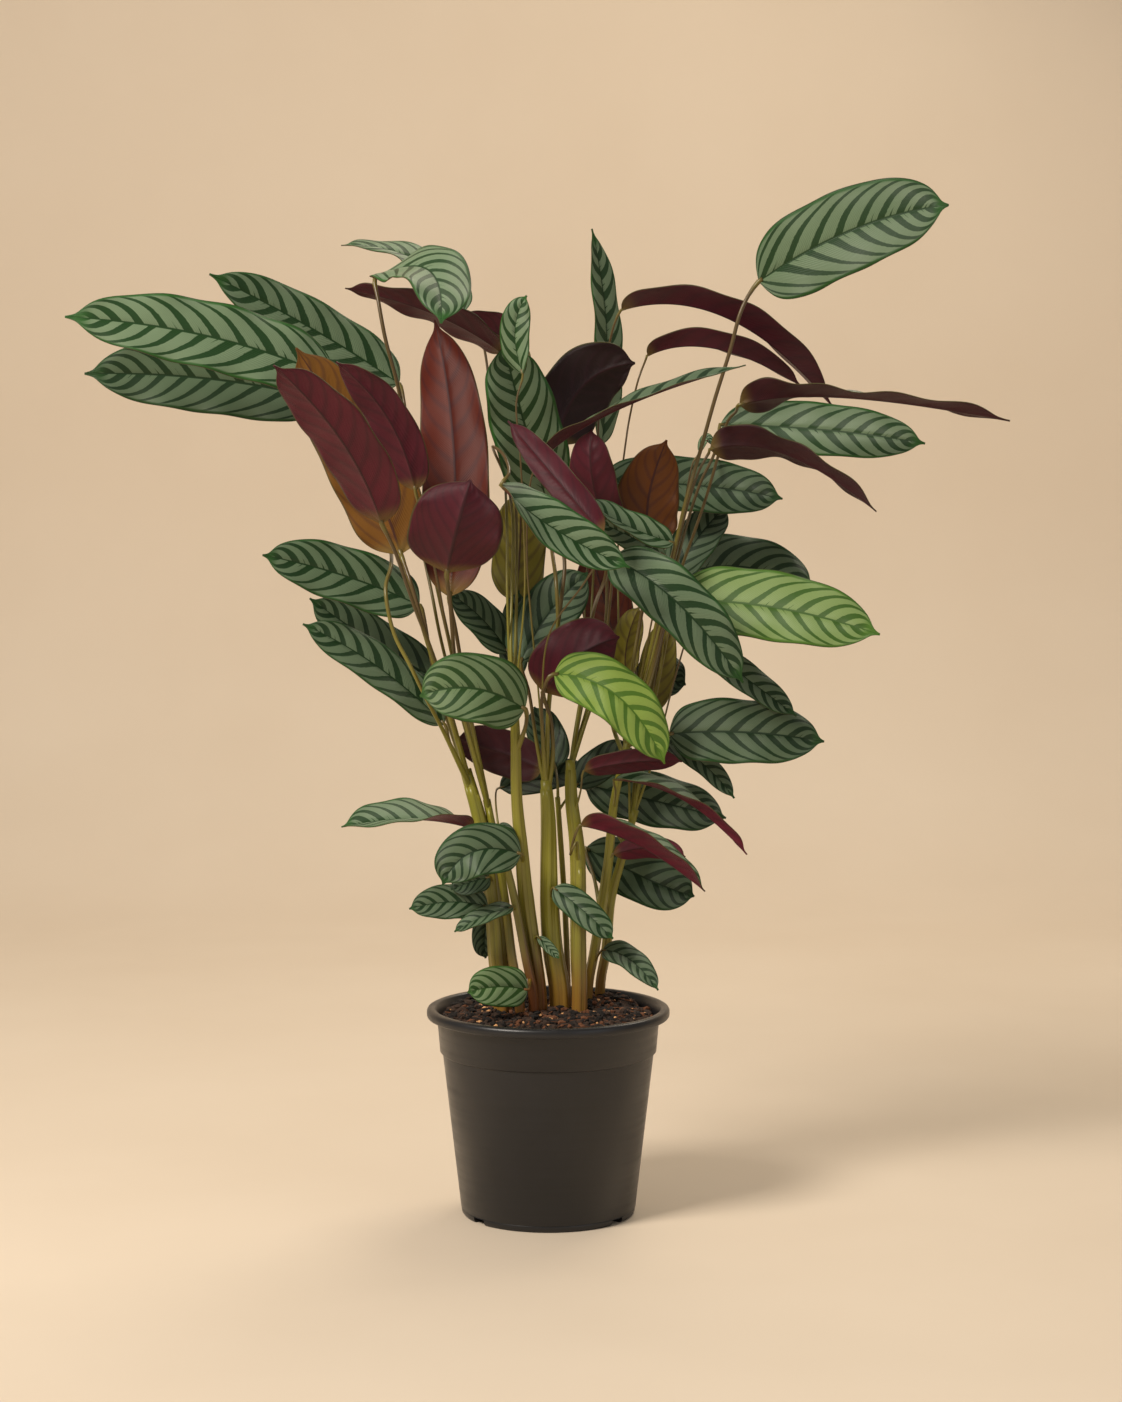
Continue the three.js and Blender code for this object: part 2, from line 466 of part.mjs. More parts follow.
function soilPlug() {
  const wall = [COLLAR_FOOT - 3, SOIL_FLOOR].map((z) => [potInside(z) - SOIL_GAP, z]);
  const rings = [...[20, 40, 60, 78, SOIL_RADIUS].map((radius) => [radius, null]), ...wall];
  const points = [new THREE.Vector3(0, 0, soilHeight(0, 0))];
  for (const [radius, level] of rings) {
    for (let k = 0; k < ROUND; k++) {
      const a = (k / ROUND) * 2 * Math.PI;
      const z = level ?? soilHeight(radius, a);
      points.push(new THREE.Vector3(radius * Math.cos(a), radius * Math.sin(a), z));
    }
  }
  points.push(new THREE.Vector3(0, 0, SOIL_FLOOR));
  const triangles = [];
  for (let k = 0; k < ROUND; k++) {
    const next = (k + 1) % ROUND;
    triangles.push([0, 1 + k, 1 + next]);
    for (let i = 0; i < rings.length - 1; i++) {
      const a = 1 + i * ROUND;
      const b = a + ROUND;
      triangles.push([a + k, b + k, b + next], [a + k, b + next, a + next]);
    }
    const foot = 1 + (rings.length - 1) * ROUND;
    triangles.push([points.length - 1, foot + next, foot + k]);
  }
  return skin(points, triangles);
}

// Inside radius of the pot at a height below the collar.
function potInside(z) {
  return THREE.MathUtils.lerp(FOOT_RADIUS, SHOULDER_RADIUS, z / COLLAR_FOOT) - WALL;
}

let soil = solid(soilPlug());
for (const [x, y, radius] of canes) {
  const hole = new THREE.CylinderGeometry(radius + HOLE_GAP, radius + HOLE_GAP, HOLE_REACH, 12);
  hole.rotateX(Math.PI / 2).translate(x, y, ROOT_DEPTH - 0.5 + HOLE_REACH / 2);
  soil = soil.subtract(solid(hole));
}
add('soil', surface(soil.simplify(SLIVER)), SOIL_BROWN);

// Pot: one moulded wall with a rolled lip, a collar below it and four drain slots at the foot.
const profile = [
  [0, 0], [FOOT_RADIUS - 2, 0], [FOOT_RADIUS, 1.5], [FOOT_RADIUS + 0.6, RING_HEIGHT],
  [SHOULDER_RADIUS, COLLAR_FOOT - 1], [COLLAR_RADIUS - 2.5, COLLAR_FOOT],
  [COLLAR_RADIUS, RIM_TOP - LIP_HEIGHT - 2], [RIM_RADIUS - 1.5, RIM_TOP - LIP_HEIGHT],
  [RIM_RADIUS, RIM_TOP - LIP_HEIGHT + 2], [RIM_RADIUS, RIM_TOP - 2], [RIM_RADIUS - 2, RIM_TOP],
  [MOUTH_RADIUS, RIM_TOP], [COLLAR_RADIUS - WALL - 0.2, RIM_TOP - LIP_HEIGHT - 4],
  [SHOULDER_RADIUS - WALL, COLLAR_FOOT - 2], [FOOT_RADIUS - WALL, SOIL_FLOOR - 0.6], [0, SOIL_FLOOR - 0.6],
].map(([r, z]) => new THREE.Vector2(r, z));
const turned = new THREE.LatheGeometry(profile, ROUND);
turned.rotateX(Math.PI / 2);
let pot = solid(turned);
for (const degrees of DRAIN_ANGLES) {
  const slot = new THREE.BoxGeometry(30, DRAIN_WIDTH, 2 * DRAIN_HEIGHT);
  slot.translate(FOOT_RADIUS, 0, 0).rotateZ(THREE.MathUtils.degToRad(degrees));
  pot = pot.subtract(solid(slot));
}
add('pot', surface(pot), POT_BLACK);

export default plant;
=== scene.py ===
import math
import random

import bmesh
import bpy
from mathutils import Matrix, Vector, noise


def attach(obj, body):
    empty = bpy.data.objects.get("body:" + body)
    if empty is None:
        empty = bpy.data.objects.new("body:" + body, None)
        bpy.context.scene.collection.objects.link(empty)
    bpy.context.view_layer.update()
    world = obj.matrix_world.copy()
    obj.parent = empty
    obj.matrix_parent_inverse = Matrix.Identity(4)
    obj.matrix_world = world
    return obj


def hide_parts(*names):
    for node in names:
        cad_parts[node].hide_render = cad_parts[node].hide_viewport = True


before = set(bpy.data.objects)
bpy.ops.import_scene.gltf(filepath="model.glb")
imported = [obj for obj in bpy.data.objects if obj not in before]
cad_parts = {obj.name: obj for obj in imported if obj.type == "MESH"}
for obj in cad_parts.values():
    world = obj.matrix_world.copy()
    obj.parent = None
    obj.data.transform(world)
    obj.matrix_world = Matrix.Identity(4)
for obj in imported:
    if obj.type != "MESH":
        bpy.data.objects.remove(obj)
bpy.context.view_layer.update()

# Camera
# It stands 2.5 m in front of the pot at the height of the upper leaves and looks slightly down, as in the
# photograph: the plant fills the frame from the floor to its top leaf.
MM = 0.001
EYE = Vector((11, -2500, 650))
PITCH_DOWN = math.radians(4.688)
camera_data = bpy.data.cameras.new("camera")
camera_data.lens = 75.1
camera_data.sensor_width = 36
camera_data.clip_end = 20
camera = bpy.data.objects.new("camera", camera_data)
camera.location = EYE * MM
camera.rotation_euler = (math.pi / 2 - PITCH_DOWN, 0, 0)
bpy.context.scene.collection.objects.link(camera)
bpy.context.scene.camera = camera

# Studio
# A plain plaster-coloured floor that curves up into a backdrop. One soft light stands at the upper left,
# a weaker one at the right and a faint one behind, in a dim warm surrounding light.


def linear(code):
    """The linear colour of an sRGB hex code."""
    parts = [int(code[i:i + 2], 16) / 255 for i in (1, 3, 5)]
    return [c / 12.92 if c < 0.04045 else ((c + 0.055) / 1.055) ** 2.4 for c in parts] + [1]


def add(tree, kind, inputs=None, **settings):
    """One shader node, with its settings, and its inputs as values or as links from other nodes."""
    made = tree.nodes.new("ShaderNode" + kind)
    for name, value in settings.items():
        setattr(made, name, value)
    for socket, source in (inputs or {}).items():
        if isinstance(source, bpy.types.Node):
            source = source.outputs[0]
        if isinstance(source, bpy.types.NodeSocket):
            tree.links.new(source, made.inputs[socket])
        else:
            made.inputs[socket].default_value = source
    return made


def new_material(name, roughness):
    material = bpy.data.materials.new(name)
    material.use_nodes = True
    shader = material.node_tree.nodes["Principled BSDF"]
    shader.inputs["Roughness"].default_value = roughness
    return material, material.node_tree, shader


def finish_piece(mesh_builder, name, materials, smooth=True):
    """The object of a finished bmesh, at the origin."""
    mesh = bpy.data.meshes.new(name)
    for face in mesh_builder.faces:
        face.smooth = smooth
    mesh_builder.to_mesh(mesh)
    mesh_builder.free()
    for material in materials:
        mesh.materials.append(material)
    piece = bpy.data.objects.new(name, mesh)
    bpy.context.scene.collection.objects.link(piece)
    return piece


FLOOR_SIZE = 9.0
BACKDROP_AT = 2.2
plaster, tree, shader = new_material("pale plaster", 0.85)
# Plaster is matt and faintly clouded, so it gives back only soft light.
grain = add(tree, "TexNoise", {"Vector": add(tree, "TexCoord").outputs["Object"], "Scale": 3.0,
                               "Detail": 6.0})
tint = add(tree, "Mix", {"Factor": grain, 6: linear("#e2d3bf"), 7: linear("#d9c8b2")}, data_type="RGBA")
tree.links.new(tint.outputs[2], shader.inputs["Base Color"])
builder = bmesh.new()
bmesh.ops.create_grid(builder, x_segments=2, y_segments=60, size=1)
for vert in builder.verts:
    run = (vert.co.y + 1) * FLOOR_SIZE / 2
    bend = 0.6
    flat = FLOOR_SIZE / 2 + BACKDROP_AT - bend
    turn = min(max((run - flat) / bend, 0), math.pi / 2)
    rise = max(run - flat - bend * math.pi / 2, 0)
    y = min(run, flat) - FLOOR_SIZE / 2 + bend * math.sin(turn)
    vert.co = Vector((vert.co.x * FLOOR_SIZE / 2, y, bend * (1 - math.cos(turn)) + rise))
floor = finish_piece(builder, "studio_floor", [plaster])

LIGHTS = [
    ("key", (-1.6, -1.5, 2.2), 0.9, 80, "#fff6ea"),
    ("fill", (2.2, -2.4, 1.2), 2.2, 9, "#f4f7ff"),
    ("rim", (0.7, 1.3, 2.2), 1.2, 22, "#fff3df"),
]
for name, place, size, power, colour in LIGHTS:
    light_data = bpy.data.lights.new(name, "AREA")
    light_data.size = size
    light_data.energy = power
    light_data.color = linear(colour)[:3]
    light = bpy.data.objects.new(name, light_data)
    light.location = place
    light.rotation_euler = (Vector((0, 0, 0.45)) - Vector(place)).to_track_quat("-Z", "Y").to_euler()
    bpy.context.scene.collection.objects.link(light)
world = bpy.data.worlds.new("studio")
world.use_nodes = True
world.node_tree.nodes["Background"].inputs["Color"].default_value = linear("#f3ece2")
world.node_tree.nodes["Background"].inputs["Strength"].default_value = 0.34
bpy.context.scene.world = world
bpy.context.scene.view_settings.view_transform = "Standard"

# Pot
# A moulded black polypropylene nursery pot with a rolled lip, a straight collar, a small step and a long
# tapered wall down to a ring line and four drain slots, in one wall about 2 mm thick.
RIM_RADIUS = 105
RIM_TOP = 180
LIP_HEIGHT = 8
MOUTH_RADIUS = 97
COLLAR_RADIUS = 96
COLLAR_FOOT = 142
SHOULDER_RADIUS = 91.5
FOOT_RADIUS = 75
RING_HEIGHT = 6
WALL = 2
DRAIN_WIDTH = 14
DRAIN_HEIGHT = 5
DRAIN_ANGLES = [38, 142, 218, 322]
FLOOR_TOP = 2.4
POT_SIDES = 144

polypropylene, tree, shader = new_material("moulded black polypropylene", 0.42)
# Moulding leaves a fine orange peel and faint level bands where the wall cooled: the sheen is uneven.
coords = add(tree, "TexCoord").outputs["Object"]
level = add(tree, "Mapping", {"Vector": coords, "Scale": (2.0, 2.0, 160.0)})
bands = add(tree, "TexNoise", {"Vector": level, "Scale": 1.0, "Detail": 3.0})
peel = add(tree, "TexNoise", {"Vector": coords, "Scale": 900.0, "Detail": 2.0})
scuffs = add(tree, "TexNoise", {"Vector": coords, "Scale": 38.0, "Detail": 5.0})
mixed = add(tree, "Math", {0: bands, 1: scuffs}, operation="MULTIPLY")
shade = add(tree, "Mix", {"Factor": mixed, 6: linear("#121214"), 7: linear("#242427")}, data_type="RGBA")
tree.links.new(shade.outputs[2], shader.inputs["Base Color"])
gloss = add(tree, "MapRange", {"Value": mixed, 1: 0.1, 2: 0.45, 3: 0.28, 4: 0.46})
tree.links.new(gloss.outputs[0], shader.inputs["Roughness"])
relief = add(tree, "Bump", {"Height": peel, "Strength": 0.25, "Distance": 0.0002})
relief = add(tree, "Bump", {"Height": bands, "Strength": 0.3, "Distance": 0.0006, "Normal": relief})
tree.links.new(relief.outputs[0], shader.inputs["Normal"])

POT_PROFILE = [
    (0.5, 0), (FOOT_RADIUS - 3, 0), (FOOT_RADIUS - 1, 0.4), (FOOT_RADIUS, 1.8),
    (FOOT_RADIUS + 0.5, RING_HEIGHT - 1), (FOOT_RADIUS + 0.2, RING_HEIGHT - 0.4),
    (FOOT_RADIUS + 0.8, RING_HEIGHT + 0.3),
    (SHOULDER_RADIUS - 0.3, COLLAR_FOOT - 2.6), (SHOULDER_RADIUS - 0.1, COLLAR_FOOT - 1.4),
    (SHOULDER_RADIUS + 1.2, COLLAR_FOOT - 0.6), (COLLAR_RADIUS - 2.4, COLLAR_FOOT + 0.4),
    (COLLAR_RADIUS - 0.2, RIM_TOP - LIP_HEIGHT - 3.4), (COLLAR_RADIUS + 0.6, RIM_TOP - LIP_HEIGHT - 1.6),
    (RIM_RADIUS - 3, RIM_TOP - LIP_HEIGHT - 0.6), (RIM_RADIUS - 1, RIM_TOP - LIP_HEIGHT),
    (RIM_RADIUS - 0.2, RIM_TOP - LIP_HEIGHT + 1.2), (RIM_RADIUS, RIM_TOP - LIP_HEIGHT + 3),
    (RIM_RADIUS - 0.1, RIM_TOP - 2.6), (RIM_RADIUS - 0.8, RIM_TOP - 1.1), (RIM_RADIUS - 2.2, RIM_TOP - 0.3),
    (RIM_RADIUS - 4, RIM_TOP), (MOUTH_RADIUS + 1.4, RIM_TOP - 0.2), (MOUTH_RADIUS, RIM_TOP - 1.4),
    (COLLAR_RADIUS - WALL, RIM_TOP - LIP_HEIGHT - 4), (SHOULDER_RADIUS - WALL + 0.6, COLLAR_FOOT),
    (SHOULDER_RADIUS - WALL, COLLAR_FOOT - 3), (FOOT_RADIUS - WALL, FLOOR_TOP + 1.5),
    (FOOT_RADIUS - WALL - 1.5, FLOOR_TOP), (0.5, FLOOR_TOP),
]
builder = bmesh.new()
row = [builder.verts.new((radius * MM, 0, height * MM)) for radius, height in POT_PROFILE]
edges = [builder.edges.new(pair) for pair in zip(row, row[1:])]
bmesh.ops.spin(builder, geom=row + edges, axis=(0, 0, 1), cent=(0, 0, 0), angle=math.tau, steps=POT_SIDES,
               use_merge=True)
bmesh.ops.holes_fill(builder, edges=builder.edges, sides=0)
bmesh.ops.recalc_face_normals(builder, faces=builder.faces)
pot = finish_piece(builder, "nursery_pot", [polypropylene])
builder = bmesh.new()
for degrees in DRAIN_ANGLES:
    place = Matrix.Rotation(math.radians(degrees), 4, "Z") @ Matrix.Translation((FOOT_RADIUS * MM, 0, 0))
    size = Matrix.Diagonal((30 * MM, DRAIN_WIDTH * MM, 2 * DRAIN_HEIGHT * MM, 1))
    bmesh.ops.create_cube(builder, size=1, matrix=place @ size)
slots = finish_piece(builder, "drain_slot_cutter", [], smooth=False)
cut = pot.modifiers.new("drain slots", "BOOLEAN")
cut.object = slots
cut.solver = "EXACT"
cut.operation = "DIFFERENCE"
cut_mesh = bpy.data.meshes.new_from_object(pot.evaluated_get(bpy.context.evaluated_depsgraph_get()))
pot.modifiers.clear()
pot.data = cut_mesh
bpy.data.objects.remove(slots)
pot.data.set_sharp_from_angle(angle=math.radians(40))
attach(pot, "root")
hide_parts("pot")

# Soil
# Dark peat potting mix with reddish bark fibres and pale clay bits, filled to just under the lip and heaped
# towards the back. The surface is one closed plug, with loose crumbs and fibres pressed into it.
SOIL_TOP = 175
SOIL_EDGE = 169
SOIL_RADIUS = 92.6
SOIL_FLOOR = 150
SOIL_RINGS = 70
SOIL_SIDES = 240

# Heaps on the soil: middle across and behind, spread across and behind, height.
HEAPS = [(58, 62, 26, 22, 9), (-70, 40, 24, 26, 6)]


def soil_height(x, y):
    """Height of the soil over a point, all in millimetres."""
    radius = min(math.hypot(x, y), SOIL_RADIUS)
    fall = (radius / SOIL_RADIUS) ** 4 * (SOIL_TOP - SOIL_EDGE)
    heap = sum(high * math.exp(-((x - across) / wide) ** 2 - ((y - behind) / deep) ** 2)
               for across, behind, wide, deep, high in HEAPS)
    lumps = 1.6 * math.sin(0.11 * x + 0.7) * math.cos(0.13 * y) + math.sin(0.23 * x - 0.19 * y)
    return SOIL_TOP - fall + heap + lumps


peat, tree, shader = new_material("peat potting mix", 0.92)
# Peat is nearly black and matt where damp, with brown crumbs, so it swallows most of the light.
coords = add(tree, "TexCoord").outputs["Object"]
crumb = add(tree, "TexVoronoi", {"Vector": coords, "Scale": 420.0})
mottle = add(tree, "TexNoise", {"Vector": coords, "Scale": 110.0, "Detail": 6.0})
shade = add(tree, "ValToRGB", {"Fac": mottle})
shade.color_ramp.elements[0].position = 0.3
shade.color_ramp.elements[0].color = linear("#0c0806")
shade.color_ramp.elements[1].position = 0.72
shade.color_ramp.elements[1].color = linear("#4a3426")
tree.links.new(shade.outputs[0], shader.inputs["Base Color"])
relief = add(tree, "Bump", {"Height": crumb, "Strength": 0.8, "Distance": 0.0012})
relief = add(tree, "Bump", {"Height": mottle, "Strength": 0.6, "Distance": 0.002, "Normal": relief})
tree.links.new(relief.outputs[0], shader.inputs["Normal"])

builder = bmesh.new()
bmesh.ops.create_grid(builder, x_segments=SOIL_RINGS, y_segments=SOIL_SIDES, size=1)
for vert in builder.verts:
    radius = SOIL_RADIUS * (vert.co.x + 1) / 2
    angle = math.pi * (vert.co.y + 1)
    x, y = radius * math.cos(angle), radius * math.sin(angle)
    rough = 2.4 * noise.fractal(Vector((x, y, 0)) * 0.16, 1.0, 2.0, 4)
    vert.co = Vector((x, y, soil_height(x, y) + rough)) * MM
bmesh.ops.remove_doubles(builder, verts=builder.verts, dist=1e-6)
rim = [edge for edge in builder.edges if edge.is_boundary]
skirt = bmesh.ops.extrude_edge_only(builder, edges=rim)["geom"]
for vert in (piece for piece in skirt if isinstance(piece, bmesh.types.BMVert)):
    vert.co = Vector((vert.co.x * 0.955, vert.co.y * 0.955, SOIL_FLOOR * MM))
bmesh.ops.holes_fill(builder, edges=builder.edges, sides=0)
bmesh.ops.recalc_face_normals(builder, faces=builder.faces)
soil = finish_piece(builder, "soil_plug", [peat])
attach(soil, "root")
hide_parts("soil")

# Soil crumbs
# Loose crumbs of peat, bark and baked clay on the surface, each a small uneven grain half sunk into it,
# and thin reddish fibres lying across them.
CRUMBS = 1500
FIBRES = 150
draw = random.Random(11)
noise.seed_set(11)
CRUMB_KINDS = [("#120c08", 0.52), ("#2f2016", 0.28), ("#58351f", 0.14), ("#b98a5c", 0.06)]
crumb_materials = []
for number, (colour, share) in enumerate(CRUMB_KINDS):
    bark, tree, shader = new_material(["damp peat crumb", "dry peat crumb", "bark fibre",
                                       "baked clay bit"][number], 0.9)
    # Broken crumbs show a darker damp side and a paler dry one, so the colour drifts within each grain.
    coords = add(tree, "TexCoord").outputs["Object"]
    speck = add(tree, "TexNoise", {"Vector": coords, "Scale": 600.0, "Detail": 4.0})
    paler = [min(1, part * 1.9) for part in linear(colour)[:3]] + [1]
    shade = add(tree, "Mix", {"Factor": speck, 6: linear(colour), 7: paler}, data_type="RGBA")
    tree.links.new(shade.outputs[2], shader.inputs["Base Color"])
    relief = add(tree, "Bump", {"Height": speck, "Strength": 0.5, "Distance": 0.0006})
    tree.links.new(relief.outputs[0], shader.inputs["Normal"])
    crumb_materials.append(bark)


def tube(builder, route, radii, sides, browns, start):
    """A round stem along a route, closed flat at each end, its skin mapped round and along in centimetres.
    """
    skin_map = builder.loops.layers.uv.verify()
    brown_layer = builder.verts.layers.float.get("brown") or builder.verts.layers.float.new("brown")
    last = len(route) - 1
    aims = [(route[min(i + 1, last)] - route[max(i - 1, 0)]).normalized() for i in range(last + 1)]
    # The ring at each end is doubled and drawn in to a point, which closes the stem.
    route, aims, browns = ([run[0]] + list(run) + [run[-1]] for run in (route, aims, browns))
    radii = [0.0] + list(radii) + [0.0]
    last += 2
    lengths = [start]
    for near, far in zip(route, route[1:]):
        lengths.append(lengths[-1] + (far - near).length / 10)
    side = Vector((0, 1, 0)).cross(aims[0]).normalized()
    frames = []
    for aim in aims:
        side = (side - aim * side.dot(aim)).normalized()
        frames.append((side.copy(), aim.cross(side)))
    new = bmesh.ops.create_grid(builder, x_segments=sides, y_segments=last, size=1)["verts"]
    cell = {}
    for vert in new:
        k = round((vert.co.x + 1) / 2 * sides)
        i = round((vert.co.y + 1) / 2 * last)
        cell[vert] = (k, i)
    for face in {face for vert in new for face in vert.link_faces}:
        for loop in face.loops:
            k, i = cell[loop.vert]
            loop[skin_map].uv = (k / sides, lengths[i])
    for vert, (k, i) in cell.items():
        angle = math.tau * (k % sides) / sides
        across, other = frames[i]
        place = route[i] + (across * math.cos(angle) + other * math.sin(angle)) * radii[i]
        vert.co = place * MM
        vert[brown_layer] = browns[i]
    bmesh.ops.remove_doubles(builder, verts=new, dist=1e-7)
    return {face for vert in new if vert.is_valid for face in vert.link_faces}


def soil_spot():
    """A random place on the soil, in millimetres."""
    radius = (SOIL_RADIUS - 2.5) * math.sqrt(draw.random())
    angle = draw.uniform(0, math.tau)
    x, y = radius * math.cos(angle), radius * math.sin(angle)
    return Vector((x, y, soil_height(x, y)))


def crumb_kind():
    return draw.choices(range(len(CRUMB_KINDS)), [share for _, share in CRUMB_KINDS])[0]


builder = bmesh.new()
for _ in range(CRUMBS):
    spot = soil_spot()
    kind = crumb_kind()
    size = draw.uniform(0.8, 3.4) if kind < 3 else draw.uniform(1.0, 2.4)
    spin = Matrix.Rotation(draw.uniform(0, math.tau), 4, draw.choice("XYZ"))
    stretch = Matrix.Diagonal((draw.uniform(0.7, 1.6), draw.uniform(0.6, 1.1), draw.uniform(0.5, 0.9), 1))
    place = Matrix.Translation((spot + Vector((0, 0, 0.3 * size))) * MM) @ spin @ stretch
    grain = bmesh.ops.create_icosphere(builder, subdivisions=1, radius=size * MM, matrix=place)["verts"]
    for vert in grain:
        vert.co += noise.noise_vector(vert.co * 900) * size * 0.3 * MM
    for face in {face for vert in grain for face in vert.link_faces}:
        face.material_index = kind
for _ in range(FIBRES):
    spot = soil_spot() + Vector((0, 0, 1.0))
    length = draw.uniform(6, 20)
    heading = draw.uniform(0, math.tau)
    ahead = Vector((math.cos(heading), math.sin(heading), draw.uniform(-0.1, 0.2)))
    aside = Vector((-ahead.y, ahead.x, 0.3)) * draw.uniform(-0.3, 0.3)
    route = [spot + ahead * length * (t - 0.5) + aside * length * (t - t * t)
             for t in (0, 0.2, 0.4, 0.6, 0.8, 1)]
    thin = draw.uniform(0.25, 0.6)
    strand = tube(builder, route, [thin] * 4 + [0.8 * thin, 0.5 * thin], 5, [0] * 6, 0)
    for face in strand:
        face.material_index = 2
crumbs = finish_piece(builder, "soil_crumbs", crumb_materials, smooth=False)
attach(crumbs, "root")

